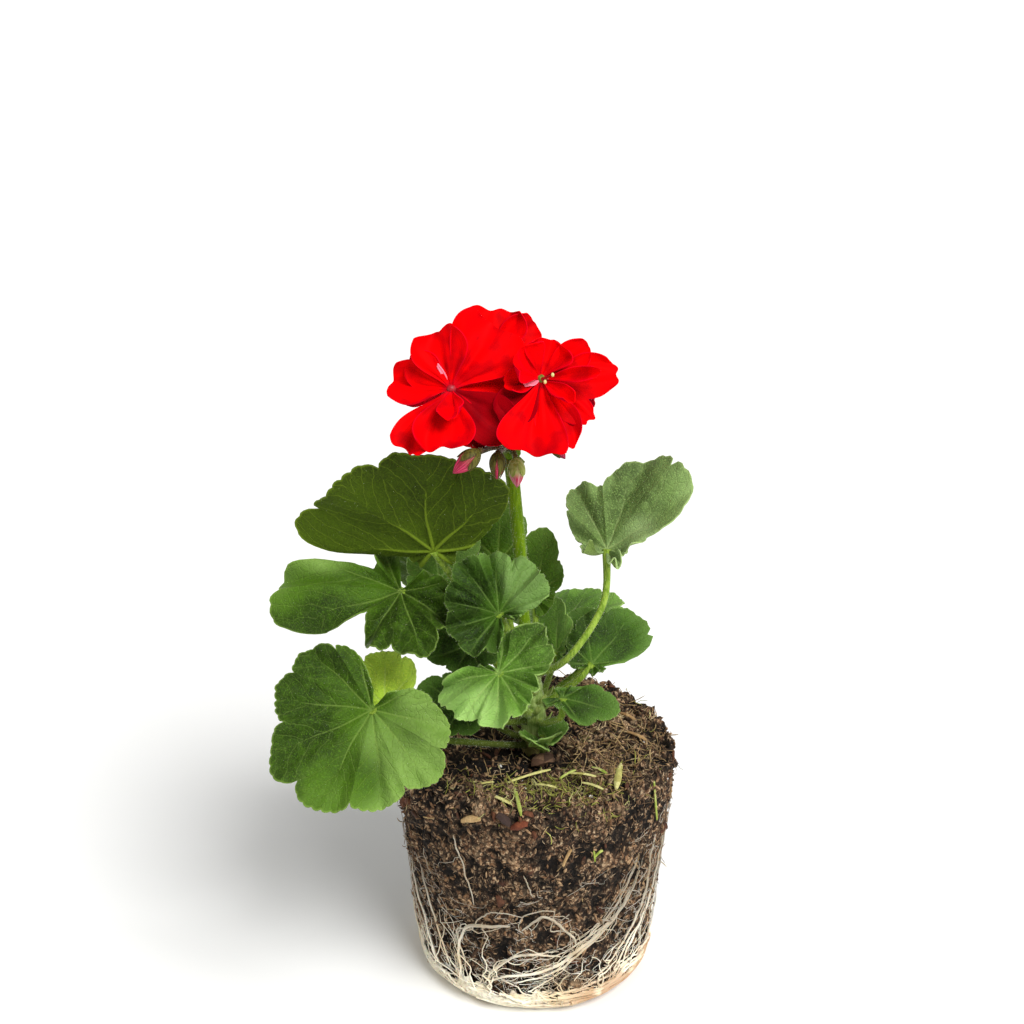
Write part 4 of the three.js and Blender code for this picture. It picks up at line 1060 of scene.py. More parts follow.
def makeFloret(name, form):
    parts = []
    petals = form.get("petals")
    facing = facingMatrix(form["facing"])
    length = form.get("length", 0)
    for *petal, seed in form.get("petaloids", []):
        parts.append(makePetal(petal, seed, 0.6))
    for i in range(len(petals) if petals else petalForm["behind"]):
        if petals:
            piece = makePetal(petals[i], 30 if i in form.get("shaded", ()) else i)
        else:
            lift = 14 * (i % 2)
            turn = (i * 360 / petalForm["behind"], 18 + lift, lift)
            piece = makePetal((turn, (length, 0.82 * length), -18, 0.1), i)
            turned(piece, facing)
        parts.append(piece)
    for i in range(sepals["count"]):
        shape = sepalPoints(sepals["length"], sepals["width"], 1.2)
        turn = facing @ turnMatrix(((i + 0.5) * sepalStep, -sepals["open"], 0))
        parts.append(makeSepal(shape, turn))
    hub = added(bpy.ops.mesh.primitive_uv_sphere_add, segments=20, ring_count=12, radius=hubRadius * mm)
    points = readPoints(hub)
    writePoints(hub, (points * [0.8, 0.8, 1.1] - [0, 0, 1.2]) @ facing.T)
    coat(hub, stamenMaterial if form.get("heart") else greens["sepal"])
    smooth(hub, 80)
    parts.append(hub)
    lines, tips = [], []
    for i in range(form.get("stamens", 0)):
        bend = turnMatrix((i * 51, 66 + 12 * (i % 2), 0))[:, 0]
        route = [(0, 0, 1), bend * 2.5 + [0, 0, 0.8], bend * (3.5 + i % 3) + [0, 0, 1.2]]
        line = smoothLine(route, 5) @ facing.T
        lines.append((line, np.linspace(0.45, 0.25, len(line))))
        tips.append(line[-1])
    if lines:
        stamens = threadPiece("stamens", lines, stamenMaterial, 6)
        smooth(stamens)
        parts.append(stamens)
    for tip in tips[::2]:
        anther = added(bpy.ops.mesh.primitive_ico_sphere_add, subdivisions=2, radius=antherRadius * mm)
        writePoints(anther, readPoints(anther) * [1, 0.7, 1.3] + tip)
        coat(anther, pollenMaterial)
        parts.append(anther)
    piece = joinPieces(name + "_fine", parts)
    writePoints(piece, readPoints(piece) + form["at"])
    settle(piece, "petal", name)


for name, form in florets.items():
    makeFloret(name, form)
print("flowers are open")


# Buds: a folded red heart held in green sepals, some still closed, some showing their tips
buds = {
    "bud_left": {
        "at": (-19.3, -35, 215.3), "facing": (-160, -36), "length": 11, "cover": 0.62, "look": "olive",
    },
    "bud_middle": {
        "at": (-13, -31, 213.5), "facing": (-95, -62), "length": 9, "cover": 0.99, "look": "olive",
    },
    "bud_hanging": {
        "at": (-7.2, -13, 205), "facing": (-80, -78), "length": 10, "cover": 0.62, "look": "pale",
    },
    "bud_right": {
        "at": (5, -3, 208), "facing": (-20, -50), "length": 8, "cover": 0.85, "look": "olive",
    },
    "bud_back": {
        "at": (-12, 13, 205), "facing": (95, -45), "length": 9, "cover": 0.8, "look": "pale",
    },
}


def makeBudMaterial(name, deep, light, base):
    material, tree = newMaterial(name, Roughness=0.5)
    along, turn, _ = heldParts(tree, "petalPlace")
    fan = put(tree, "CombineXYZ", {0: times(tree, turn, 26.0), 1: along}).outputs[0]
    streaks = ranged(tree, noisy(tree, fan, 1.0, 2.0), 0.42, 0.6)
    colour = mixed(tree, streaks, paint(*deep), paint(*light))
    colour = over(tree, colour, paint(*base), along, 0.4, 0.7, 1.0, 0.0)
    return finished(material, colour, streaks, 0.15)


budHearts = {
    "olive": makeBudMaterial("budHeartDark", (146, 4, 44), (206, 40, 92), (150, 60, 56)),
    "pale": makeBudMaterial("budHeartPale", (212, 24, 84), (248, 170, 180), (206, 204, 130)),
}


def budRadius(length, share):
    return 0.26 * length * np.sin(math.pi * np.clip(share, 0, 1) ** 0.8) ** 0.85


for name, form in buds.items():
    length, cover = form["length"], form["cover"]

    def heartPlace(u, v):
        turn = 2 * math.pi * u
        swirl = 1 + 0.09 * np.sin(5 * turn + 6 * v) * v
        radius = budRadius(length, v) * swirl
        return around(turn, radius, length * v - 0.4)

    heart, u, v = gridPiece("bud", 30, 26, heartPlace)
    storeVectors(heart, "petalPlace", np.stack([v, u, 0 * u], -1))
    coat(heart, budHearts[form["look"]])
    mergeDoubles(heart)
    facing = facingMatrix(form["facing"])
    turned(heart, facing)
    smooth(heart, 80)
    parts = [heart]
    for i in range(sepals["count"]):
        def sepalPlace(u, v):
            share = u * cover
            half = 0.72 * np.clip(1 - u, 0, 1) ** 0.55
            turn = math.radians(sepalStep * i) + (2 * v - 1) * half
            radius = budRadius(length, share) + 0.28 + 0.35 * u ** 6
            return around(turn, radius, length * share - 0.6)

        piece, _, _ = gridPiece("sepal", 14, 8, sepalPlace)
        thicken(piece, 0.3, greens[form["look"]], greens[form["look"]])
        turned(piece, facing)
        smooth(piece)
        parts.append(piece)
    bud = joinPieces(name + "_fine", parts)
    writePoints(bud, readPoints(bud) + form["at"])
    settle(bud, "bud", name)
    spine = np.array([form["at"], form["at"] + facing[:, 2] * length * cover])
    growStalkHairs(spine, 0.24 * length, *hairiness["bud"])

# Short stalks fan out from the knob to each flower and bud
umbelLines = []
for form in [*florets.values(), *buds.values()]:
    end = np.array(form["at"], float)
    middle = (umbelAt + end) / 2 + [0, 0, 1.5]
    line = smoothLine([umbelAt, middle, end], 8)
    share = np.linspace(0, 1, len(line))
    umbelLines.append((line, 0.85 + 0.25 * share ** 3))
    growStalkHairs(line, 0.85, *hairiness["umbel"])
umbelStalks = threadPiece("umbel_stalks_fine", umbelLines, greens["pedicel"], 10)
smooth(umbelStalks)
knob = added(bpy.ops.mesh.primitive_uv_sphere_add, segments=28, ring_count=16, radius=knobRadius * mm)
knobPoints = readPoints(knob)
lumps = np.array([noise.noise(Vector(p) * 0.7) for p in knobPoints])
writePoints(knob, knobPoints * (1 + 0.18 * lumps)[:, None] * [1, 1, 0.85] + umbelAt)
coat(knob, greens["flowerStalk"])
smooth(knob, 80)
umbelParts = [umbelStalks, knob]
for i in range(7):
    bract = makeSepal(sepalPoints(5.5, 2.6, 0.8), turnMatrix((i * 51, -28 - 10 * (i % 2), 0)))
    writePoints(bract, readPoints(bract) + umbelAt - [0, 0, 1.2])
    umbelParts.append(bract)
settle(joinPieces("umbel_stalks_fine", umbelParts), "stalk", "umbel_stalks")
print("buds and their stalks are made")

# The little shoot beside the foot of the stem
shoot = {
    **plainLeaf, "at": (2.5, -10.5, 93), "reach": (8.5,), "blades": [(-150, 30), (-60, 35), (20, 20)],
}
youngForm = {
    **plainLeaf, "span": 140, "lobes": 3, "reach": (3, 6, 8, 8.5, 8, 6, 3), "look": "bright",
    "cup": 0.25, "wave": 0.02,
}
shootParts = []
shootLines = [(np.array([(0, 0, -6), (0, 0, 1), (0, 0, 5.0)]), np.array([1.1, 1.1, 1.0]))]
for i, (heading, pitch) in enumerate(shoot["blades"]):
    direction = levelDirection(heading)
    little = makeBlade("shoot_blade", youngForm, 0.75)
    turn = turnMatrix((heading, pitch, 0))
    spot = direction * 2 + [0, 0, 1.5 + i] + shoot["at"]
    turned(little, turn, spot)
    growBladeHairs(youngForm, spot, turn, 3)
    # painted light and shade on the little blades too
    storeNumbers(little, "pale", paintedLightShare(shoot, readPoints(little) - shoot["at"]))
    shootParts.append(little)
    ends = np.array([(0, 0, 0.7 + i), direction * 2.6 + [0, 0, 1.5 + i]])
    shootLines.append((ends, np.array([0.9, 0.7])))
shootStalks = threadPiece("shoot_stalks", shootLines, greens["shoot"], 10)
smooth(shootStalks)
writePoints(shootStalks, readPoints(shootStalks) + shoot["at"])
settle(joinPieces("basal_shoot_fine", [*shootParts, shootStalks]), "young_leaf", "basal_shoot")


# Soil: the pot-shaped ball with crumbs pushed in and out of its wall and top
ball = {
    "height": 92, "topRadius": 52.5, "bottomRadius": 43, "bottomRounding": 8, "rimRounding": 4, "dish": 4,
}
soilGrid = {"columns": 340, "rows": 170}


def ballRadius(z):
    wall = ball["bottomRadius"] + (ball["topRadius"] - ball["bottomRadius"]) * z / ball["height"]
    low = np.clip(1 - z / ball["bottomRounding"], 0, 1)
    high = np.clip((z - ball["height"] + ball["rimRounding"]) / ball["rimRounding"], 0, 1)
    wall = wall - ball["bottomRounding"] * (1 - np.sqrt(1 - low * low))
    return wall - ball["rimRounding"] * (1 - np.sqrt(1 - high * high))


def ballCrumb(turn, z):
    coarse = np.sin(5 * turn + 0.11 * z) + np.sin(9 * turn - 0.17 * z + 1.3)
    return 0.7 * (0.3 * coarse + 0.4 * np.sin(17 * turn + 0.31 * z + 0.6) * np.sin(0.42 * z + 3 * turn))


def soilPlace(u, v):
    turn = 2 * math.pi * u
    bottom, wall = 0.1, 0.72  # shares of the rows for the flat bottom, and up to the rim
    z = np.clip((v - bottom) / (wall - bottom), 0, 1) ** 0.95 * ball["height"]
    radius = ballRadius(z)
    radius = np.where(v < bottom, radius * v / bottom, radius)
    inward = np.clip((v - wall) / (1 - wall), 0, 1)
    radius = np.where(v > wall, radius * (1 - inward) ** 0.9, radius)
    sunk = ball["dish"] * (1 - (radius / ball["topRadius"]) ** 2)
    height = np.where(v > wall, ball["height"] - sunk, z)
    wavy = 1.3 * np.sin(4 * turn + radius / 6) * np.sin(radius / 9)
    wavy = wavy * np.clip(radius / 15, 0, 1) * np.clip(inward * 8, 0, 1)
    height = np.where(v > wall, height + wavy, height)
    onWall = (v >= bottom) & (v <= wall)
    radius = np.where(onWall, radius + ballCrumb(turn, z) * np.clip(z / 6, 0, 1), radius)
    return around(turn, radius, height)


# Swells and crumbs: how closely they lie, and how high they stand
soilSwells = [(0.13, 1.3), (0.33, 1.0)]
soilCrumbs = [(0.21, 0.4), (0.42, 1.0), (0.95, 0.9)]
crumbReach = 0.45
soilHollows = [(-15, -15, 14, 8, 1.0), (10, -10, 5, 5, 0.8)]


def soilRelief(point):
    spot = Vector(point)
    height = sum(rise * noise.noise(spot * closeness) for closeness, rise in soilSwells)
    for closeness, rise in soilCrumbs:
        height += rise * (crumbReach - noise.voronoi(spot * closeness)[0][0])
    return height


soil, _, _ = gridPiece("soil_ball_fine", soilGrid["columns"], soilGrid["rows"], soilPlace)
mergeDoubles(soil)
soilPoints, soilNormals = readPoints(soil), readNormals(soil)
relief = np.array([soilRelief(point) for point in soilPoints])
onTop = np.clip((soilPoints[:, 2] - 84) / 5, 0, 1)
flatFoot = np.clip(soilPoints[:, 2] / 4, 0, 1)
hollow = 0
for right, back, width, breadth, depth in soilHollows:
    hollow = hollow + depth * np.exp(-((soilPoints[:, 0] - right) / width) ** 2
                                     - ((soilPoints[:, 1] - back) / breadth) ** 2)
rugged = np.array([noise.noise(Vector(point) * 0.085) for point in soilPoints])
relief = relief + onTop * (1.1 * rugged - 2.4 * hollow)
# the relief is kept for painted shade in the hollows and painted light on the rises
storeNumbers(soil, "height", relief)
relief = (relief - 0.2) * (1.05 + 0.75 * onTop) * flatFoot
soilPoints = soilPoints + soilNormals * relief[:, None]
soilPoints[:, 2] = np.maximum(soilPoints[:, 2], 0)
writePoints(soil, soilPoints)
smooth(soil, 70)


def makeSoilMaterial():
    material, tree = newMaterial("peat", Roughness=0.92, Specular_IOR_Level=0.25)
    place = objectPlace(tree)
    cells = put(tree, "TexVoronoi", {"Vector": place, "Scale": 620.0, "Randomness": 1.0})
    fineCells = put(tree, "TexVoronoi", {"Vector": place, "Scale": 1500.0, "Randomness": 1.0})
    hue = put(tree, "SeparateColor", {0: cells.outputs["Color"]}).outputs[0]
    fineHue = put(tree, "SeparateColor", {0: fineCells.outputs["Color"]}).outputs[1]
    slant = {"Vector": place, "Scale": (900, 350, 700), "Rotation": (0.6, 0.3, 0.5)}
    streaks = put(tree, "Mapping", slant).outputs[0]
    tangle = {"Vector": streaks, "Scale": 1.0, "Detail": 4.0, "Distortion": 1.5}
    fibre = put(tree, "TexNoise", tangle).outputs[0]
    patches = ranged(tree, noisy(tree, place, 70.0, 4.0), 0.35, 0.7)
    colour = mixed(tree, patches, paint(72, 52, 37), paint(142, 106, 76))
    # pale on the raised fibres: partly their own tone, partly painted highlight
    colour = over(tree, colour, paint(214, 182, 144), fibre, 0.5, 0.66, 0.0, 0.9)
    # dark in the low places between the fibres: painted shade
    colour = over(tree, colour, paint(12, 8, 6), fibre, 0.3, 0.46, 0.9, 0.0)
    colour = over(tree, colour, paint(112, 74, 50), hue, 0.75, 0.95, 0.0, 0.5)
    colour = over(tree, colour, paint(204, 180, 146), fineHue, 0.86, 0.98, 0.0, 0.8)
    # dark in the gaps between the crumbs: painted shade
    crumbs = put(tree, "TexVoronoi", {"Vector": streaks, "Scale": 0.8}).outputs["Distance"]
    colour = over(tree, colour, paint(12, 8, 6), crumbs, 0.38, 0.62, 0.0, 0.85)
    # painted shadow of the plant on the soil round the stem
    plantShadowCentre = {0: place, 1: (-0.012, -0.012, 0.09)}
    plantShadowFade = put(tree, "VectorMath", plantShadowCentre, operation="DISTANCE").outputs["Value"]
    colour = over(tree, colour, paint(24, 17, 12), plantShadowFade, 0.012, 0.026, 0.7, 0.0)
    # darker on the low relief and in the hollows, paler on the rises: painted shade and painted light
    rise = heldNumber(tree, "height")
    colour = over(tree, colour, paint(10, 7, 5), rise, -0.9, 0.45, 0.95, 0.0)
    colour = over(tree, colour, paint(176, 146, 112), rise, 0.5, 1.5, 0.0, 0.5)
    height = maths(tree, "ADD", times(tree, cells.outputs["Distance"], -0.5), fibre)
    height = maths(tree, "SUBTRACT", height, times(tree, crumbs, 0.7))
    height = maths(tree, "ADD", height, times(tree, noisy(tree, place, 900.0, 4.0), 1.2))
    return finished(material, colour, height, 0.8, 0.9)


coat(soil, makeSoilMaterial())
settle(soil, "soil", "soil_ball")
print("root ball is shaped")


# Bits of soil in a few tones, picked copy by copy for tinted ones and place by place for the others
bitLooks = {
    "tinted": {"grain": (1100.0, 3.0), "shade": (0.35, 0.7, 0.45, 0.0), "dark": 0.5, "bump": (0.2, 0.8)},
    "placed": {"grain": (1600.0, 2.0), "shade": (0.4, 0.75, 0.35, 0.0), "dark": 0.55, "bump": (0.1, 0.6)},
}


def makeBitMaterial(name, tones, kind="placed", rough=0.85):
    look = bitLooks[kind]
    material, tree = newMaterial(name, Roughness=rough, Specular_IOR_Level=0.25)
    place = objectPlace(tree)
    if kind == "tinted":
        pick = heldNumber(tree, "tint")
    else:
        cells = put(tree, "TexVoronoi", {"Vector": place, "Scale": 240.0}).outputs["Color"]
        pick = put(tree, "SeparateColor", {0: cells}).outputs[0]
    grain = noisy(tree, place, *look["grain"])
    shade = ranged(tree, grain, *look["shade"])
    colour = mixed(tree, shade, ramped(tree, pick, tones), shaded(tones[0], look["dark"]))
    return finished(material, colour, grain, *look["bump"])


soilRandom = np.random.default_rng(11)


def addTemplate(kind, roughness):
    if kind == "chip":
        template = added(bpy.ops.mesh.primitive_cube_add, size=2 * mm)
        edge = template.modifiers.new("edge", "BEVEL")
        edge.width = 0.35 * mm
        edge.segments = 1
        bpy.ops.object.modifier_apply(modifier=edge.name)
    else:
        level = 1 if kind == "crumb" else 2
        template = added(bpy.ops.mesh.primitive_ico_sphere_add, subdivisions=level, radius=mm)
    points = readPoints(template)
    writePoints(template, points + soilRandom.normal(scale=roughness, size=points.shape))
    return template


def randomSpins(count):
    return soilRandom.random(count) * 2 * math.pi


def strewn(name, kind, count, sizes, stretch, wanted, rough, tones):
    lift, lean = 0.3, 0.5  # how far out and how steeply a bit lies
    material = makeBitMaterial(name, tones, "tinted", rough)
    template = addTemplate(kind, 0.16)
    points, normals = pointsOn(soil, count, soilRandom, wanted)
    normals = normals + soilRandom.normal(scale=lean, size=normals.shape)
    scale = soilRandom.uniform(*sizes, count)[:, None] * np.array(stretch)
    scale = scale * soilRandom.uniform(0.7, 1.3, (count, 3))
    points = points + normals * (lift * scale[:, 2:])
    points[:, 2] = np.maximum(points[:, 2], 0.6)
    places = placesAlong(points, normals, randomSpins(count), scale)
    piece = scattered(name, template, places, soilRandom.random(count), material)
    bpy.data.objects.remove(template)
    settle(piece, "soil")


wallOrTop = lambda spots: (spots[:, 2] > 6).astype(float) * np.where(spots[:, 2] > 80, 1.6, 1.0)
topOnly = lambda spots: (spots[:, 2] > 84).astype(float)
strewnBits = {
    "peat_crumbs": {
        "kind": "crumb", "count": 3800, "sizes": (0.28, 0.85), "stretch": (1.7, 0.75, 0.6),
        "wanted": wallOrTop, "rough": 0.85,
        "tones": [(34, 24, 17), (88, 64, 46), (132, 98, 68), (190, 156, 118), (50, 36, 26)],
    },
    "bark_chips": {
        "kind": "chip", "count": 150, "sizes": (0.7, 1.8), "stretch": (1.3, 0.7, 0.3),
        "wanted": wallOrTop, "rough": 0.8,
        "tones": [(48, 32, 24), (86, 52, 36), (112, 68, 44), (64, 46, 36)],
    },
    "perlite": {
        "kind": "grain", "count": 14, "sizes": (0.4, 0.8), "stretch": (1, 0.9, 0.8),
        "wanted": topOnly, "rough": 0.85,
        "tones": [(232, 230, 224), (250, 249, 246)],
    },
}
for name, form in strewnBits.items():
    strewn(name, **form)


# Thin fibres lie on the soil: short wandering lines, some lifted at one end
def fibreLines(count, lengths, radii, wanted, lift, wander=0.35, steps=6):
    points, normals = pointsOn(soil, count, soilRandom, wanted)
    lines = []
    for spot, normal in zip(points, normals):
        heading = np.cross(normal, soilRandom.normal(size=3))
        heading /= np.linalg.norm(heading)
        length = soilRandom.uniform(*lengths)
        rise = soilRandom.uniform(0, lift)
        line = [spot + normal * 0.5]
        for i in range(1, steps):
            heading = heading + np.cross(normal, heading) * soilRandom.normal(scale=wander)
            heading /= np.linalg.norm(heading)
            line.append(line[-1] + (heading + normal * rise * (i / steps)) * length / (steps - 1))
        line = np.array(line)
        line[:, 2] = np.maximum(line[:, 2], 0.4)
        radius = soilRandom.uniform(*radii)
        lines.append((line, radius * np.array([0.5] + [1.0] * (steps - 2) + [0.4])))
    return lines


def mossWanted(spots):
    near = np.exp(-((spots[:, 0] - 6) / 17) ** 2 - ((spots[:, 1] + 34) / 9) ** 2)
    return (spots[:, 2] > 85) * (near + 0.02)


def dryWanted(spots):
    inside = np.hypot(spots[:, 0], spots[:, 1]) < 47
    return topOnly(spots) * inside * (0.4 + 1.6 * (spots[:, 0] > 12)) + 0.06 * (spots[:, 2] > 30)


fibres = {
    "straw_fibres": {
        "lines": (760, (2.5, 7.5), (0.09, 0.24), dryWanted, 0.3),
        "tones": [(150, 120, 78), (196, 168, 118), (120, 92, 60), (216, 196, 150)],
    },
    "peat_fibres": {
        "lines": (2800, (0.9, 3.2), (0.07, 0.15), wallOrTop, 0.3, 0.35, 4),
        "tones": [(124, 94, 68), (186, 152, 114), (78, 56, 40), (228, 200, 162)],
    },
    "moss_threads": {
        "lines": (620, (1.8, 6), (0.08, 0.22), mossWanted, 0.45, 0.4),
        "tones": [(116, 118, 44), (192, 192, 96), (92, 84, 42), (222, 218, 146)],
    },
}
for name, form in fibres.items():
    material = makeBitMaterial(name, form["tones"])
    settle(threadPiece(name, fibreLines(*form["lines"]), material), "soil")


# A place on the soil: a point, or a turn about the ball and a height on its wall
def onBall(place):
    if len(place) == 3:
        return np.array(place, float)
    turn, z = math.radians(place[0]), place[1]
    radius = ballRadius(z) + 1.1
    return np.array([radius * math.cos(turn), radius * math.sin(turn), z])


# Bits of straw and bark that can be told apart: from where to where, how wide, how thick, which look
laidBits = [
    ((-10, -31.3, 91), (5.1, -23.6, 91.5), 1.1, 0.5, "straw"),
    ((-17, -38.8, 91), (-8.7, -45.3, 91.3), 1.3, 0.5, "straw"),
    ((-7.7, -35.4, 91.5), (-96, 91), 1.0, 0.5, "green"),
    ((30.4, -19.6, 91.5), (27.5, -37.3, 92.4), 2.1, 0.5, "straw"),
    ((-37, 91.5), (-34, 74.5), 1.9, 0.5, "green"),
    ((-119, 85.5), (-111, 88.5), 2.4, 0.9, "tan"),
    ((-104.5, 90.5), (-100.5, 88), 3.4, 2.0, "bark"),
    ((-99, 86.5), (-94, 88.5), 3.2, 1.8, "redBark"),
    ((1.2, -4.8, 91), (4.6, -2.8, 93.5), 4.0, 3.0, "tan"),
    ((-80, 70), (-77, 77), 1.1, 0.6, "tan"),
    ((-68, 74.5), (-67, 69.5), 0.9, 0.5, "green"),
    ((-67, 71.5), (-64, 73.5), 0.7, 0.5, "green"),
    ((-0.4, -14.6, 88.8), (5.4, -14.2, 90.6), 4.6, 3.4, "peatLump"),
    ((12, -26, 91.5), (21, -29, 92), 1.0, 0.5, "straw"),
    ((8, -30, 91.5), (14, -24, 91.5), 0.9, 0.5, "green"),
    ((16, -33, 92), (23, -38, 92.5), 1.0, 0.5, "straw"),
    ((0, -34, 91.8), (7, -37, 92.4), 0.9, 0.5, "straw"),
    ((20, -22, 91.5), (25, -27, 92), 1.0, 0.5, "green"),
    ((-22, -34, 91), (-15, -31, 91), 0.8, 0.5, "straw"),
    ((34, 4, 91), (41, -3, 91.5), 1.2, 0.6, "tan"),
    ((38, 12, 91.5), (33, 18, 91), 1.3, 0.6, "tan"),
    ((-30, 20, 91), (-36, 12, 91.5), 1.4, 0.6, "tan"),
    ((10, 36, 91), (18, 33, 91.5), 1.2, 0.6, "straw"),
]
bitTones = {
    "straw": [(196, 192, 110), (222, 216, 146), (178, 170, 92)],
    "green": [(132, 152, 54), (170, 184, 84), (196, 200, 120)],
    "tan": [(176, 140, 92), (206, 172, 122), (150, 112, 70)],
    "bark": [(58, 44, 40), (80, 62, 54), (44, 32, 30)],
    "peatLump": [(92, 66, 50), (126, 96, 72), (66, 48, 36)],
    "redBark": [(110, 54, 34), (134, 74, 48), (88, 42, 30)],
}
bitMaterials = {look: makeBitMaterial(look + "Bit", tones) for look, tones in bitTones.items()}
noise.seed_set(4)  # or else each run would roughen the bits anew
bitPieces = []
for start, end, width, thickness, look in laidBits:
    start, end = onBall(start), onBall(end)
    middle = (start + end) / 2 + [0, 0, 0.5]
    onSide = abs(middle[2] - ball["height"]) > 4
    out = middle / np.linalg.norm(middle) if onSide else np.array([0, 0, 1.0])
    along = (end - start) / np.linalg.norm(end - start)
    side = np.cross(out, along)

    def bitPlace(u, v):
        bend = (2 * middle - start - end) * 2
        route = start + (end - start) * u[:, None] + bend * (u * (1 - u))[:, None]
        half = width / 2 * (1 - 0.75 * np.abs(2 * u - 1) ** 4) * (1 + 0.12 * np.sin(9 * u + width))
        across = 2 * v - 1
        rise = 0.5 - 0.25 * width * across ** 2
        return route + side * (across * half)[:, None] + out * rise[:, None]

    bit, _, _ = gridPiece("bit", 14, 5, bitPlace)
    thicken(bit, thickness, bitMaterials[look], bitMaterials[look])
    rough = np.array([noise.noise_vector(Vector(p) * 0.9) for p in readPoints(bit)])
    writePoints(bit, readPoints(bit) + rough * 0.12 * thickness)
    smooth(bit)
    bitPieces.append(bit)
settle(joinPieces("straw_and_bark", bitPieces), "soil")
print("soil is strewn")

# Roots that show on the ball's wall, as turns about its middle and heights
rootRandom = np.random.default_rng(5)
feature = {
    "loop": (0.62, [(-129, 8), (-127, 17), (-127, 25), (-125, 32), (-122, 36.5), (-116, 39.5),
                    (-109, 40.5), (-100, 41.8)]),
    "arc": (0.5, [(-96, 41), (-92, 44), (-88, 47), (-83, 45), (-79, 41), (-75, 36), (-74, 32)]),
    "band": (0.6, [(-112, 14), (-104, 18.5), (-93, 21), (-79, 25), (-72, 30), (-65, 33.5), (-61, 37),
                   (-55, 40), (-50, 45), (-47, 50)]),
    "bandBeside": (0.42, [(-100, 16), (-88, 19), (-77, 23), (-68, 29), (-60, 34), (-52, 40), (-46, 47),
                          (-41, 56)]),
    "bandAbove": (0.3, [(-84, 28), (-74, 32), (-64, 37), (-55, 44), (-49, 53), (-44, 62)]),
    "curve": (0.45, [(-114, 13), (-110, 18.5), (-104, 24.5), (-97, 29), (-89, 30.5), (-79, 28.5)]),
    "wallThread": (0.28, [(-124, 77), (-123, 73), (-121, 68), (-119, 57), (-116, 47.5)]),
    "wallThreadLow": (0.24, [(-95, 66), (-93, 62), (-91, 56.5)]),
    "leftEdge": (0.45, [(-160, 50), (-157, 41), (-153, 32), (-148, 23), (-142, 14), (-136, 7)]),
    "leftEdgeBeside": (0.4, [(-148, 52), (-146, 42), (-143, 33), (-139, 24), (-134, 13)]),
    "rightEdge": (0.5, [(-30, 66), (-32, 58), (-33, 47), (-36, 36), (-43, 27), (-52, 18)]),
    "rightEdgeBeside": (0.45, [(-20, 60), (-24, 48), (-28, 37), (-36, 26), (-44, 16)]),
}


def onWall(turns, heights, out):
    turns = np.radians(turns)
    radius = ballRadius(heights) + ballCrumb(turns, heights) * np.clip(heights / 6, 0, 1) + out
    return around(turns, radius, heights)


def wallLine(marks, radius, waver):
    marks = smoothLine([(turn, height, 0) for turn, height in marks], 7)
    turns = marks[:, 0] + waver * np.cumsum(rootRandom.normal(scale=0.25, size=len(marks)))
    heights = marks[:, 1] + waver * np.cumsum(rootRandom.normal(scale=0.2, size=len(marks)))
    heights = np.maximum(heights, radius + 0.2)
    ends = np.linspace(-1, 1, len(marks))
    return onWall(turns, heights, radius * 0.7 + 0.5), radius * (1 - 0.55 * ends ** 4)


# Slow swings added up, as a root's course sways
def swings(low, high, share):
    total = 0
    for n in (1, 2, 3):
        size = rootRandom.uniform(low, high) / n
        total = total + size * np.sin(rootRandom.uniform(0, 6) + n * rootRandom.uniform(4, 9) * share)
    return total


# A root that wanders over the wall, bunched with others or alone
def wanderingRoot(turn, height, reach, climb, radius, steps=16):
    share = np.linspace(0, 1, steps)
    turns = turn + reach * share + swings(1, 3, share)
    turns = turns + np.cumsum(rootRandom.normal(scale=0.7, size=steps))
    heights = height + climb * share + swings(0.6, 1.6, share) * min(1, 0.3 + height / 12)
    heights = np.clip(heights + np.cumsum(rootRandom.normal(scale=0.3, size=steps)), radius + 0.25, 80)
    out = radius * 0.6 + rootRandom.uniform(0.35, 1.1)
    return onWall(turns, heights, out), radius * (1.05 - 0.75 * share)


# Roots climb further where they are matted: at both sides and behind, less at the front
def climbAt(turn):
    front = math.exp(-(((turn + 90 + 180) % 360 - 180) / 38) ** 2)
    return 1 - 0.5 * front


rootCounts = {"mat": 165, "climbing": 120, "beside": 2, "net": 560, "wall": 70}
matLines = []
for _ in range(rootCounts["mat"]):
    turn = rootRandom.uniform(0, 360)
    height = 0.8 + 11 * rootRandom.random() ** 1.5
    reach = rootRandom.uniform(20, 80) * rootRandom.choice((-1, 1))
    climb, radius = rootRandom.uniform(-1.5, 2.5), 0.22 + 0.62 * rootRandom.random() ** 1.6
    matLines.append(wanderingRoot(turn, height, reach, climb, radius, 22))
climbLines = [wallLine(marks, radius, 0.6) for radius, marks in feature.values()]
for _ in range(rootCounts["climbing"]):
    turn = rootRandom.uniform(0, 360)
    climb = (10 + 46 * rootRandom.random() ** 1.5) * climbAt(turn)
    height, reach = rootRandom.uniform(1, 14), rootRandom.normal(scale=16)
    radius = 0.14 + 0.34 * rootRandom.random() ** 1.5
    climbLines.append(wanderingRoot(turn, height, reach, climb, radius, 14))
for radius, marks in list(feature.values())[:6]:
    for _ in range(rootCounts["beside"]):
        beside = [np.array(mark) + rootRandom.normal(scale=2.2, size=2) for mark in marks]
        climbLines.append(wallLine(beside, radius * rootRandom.uniform(0.25, 0.5), 1.2))
netLines = []
for _ in range(rootCounts["net"]):
    turn = rootRandom.uniform(0, 360)
    height = 2 + 56 * rootRandom.random() ** 1.2 * climbAt(turn)
    reach, climb = rootRandom.normal(scale=9), rootRandom.normal(scale=6)
    radius = 0.07 + 0.17 * rootRandom.random() ** 1.6
    netLines.append(wanderingRoot(turn, height, reach, climb, radius, 9))
for _ in range(rootCounts["wall"]):
    turn, height = rootRandom.uniform(0, 360), rootRandom.uniform(25, 78)
    reach, climb = rootRandom.normal(scale=8), rootRandom.uniform(-16, 10)
    netLines.append(wanderingRoot(turn, height, reach, climb, rootRandom.uniform(0.1, 0.2), 11))


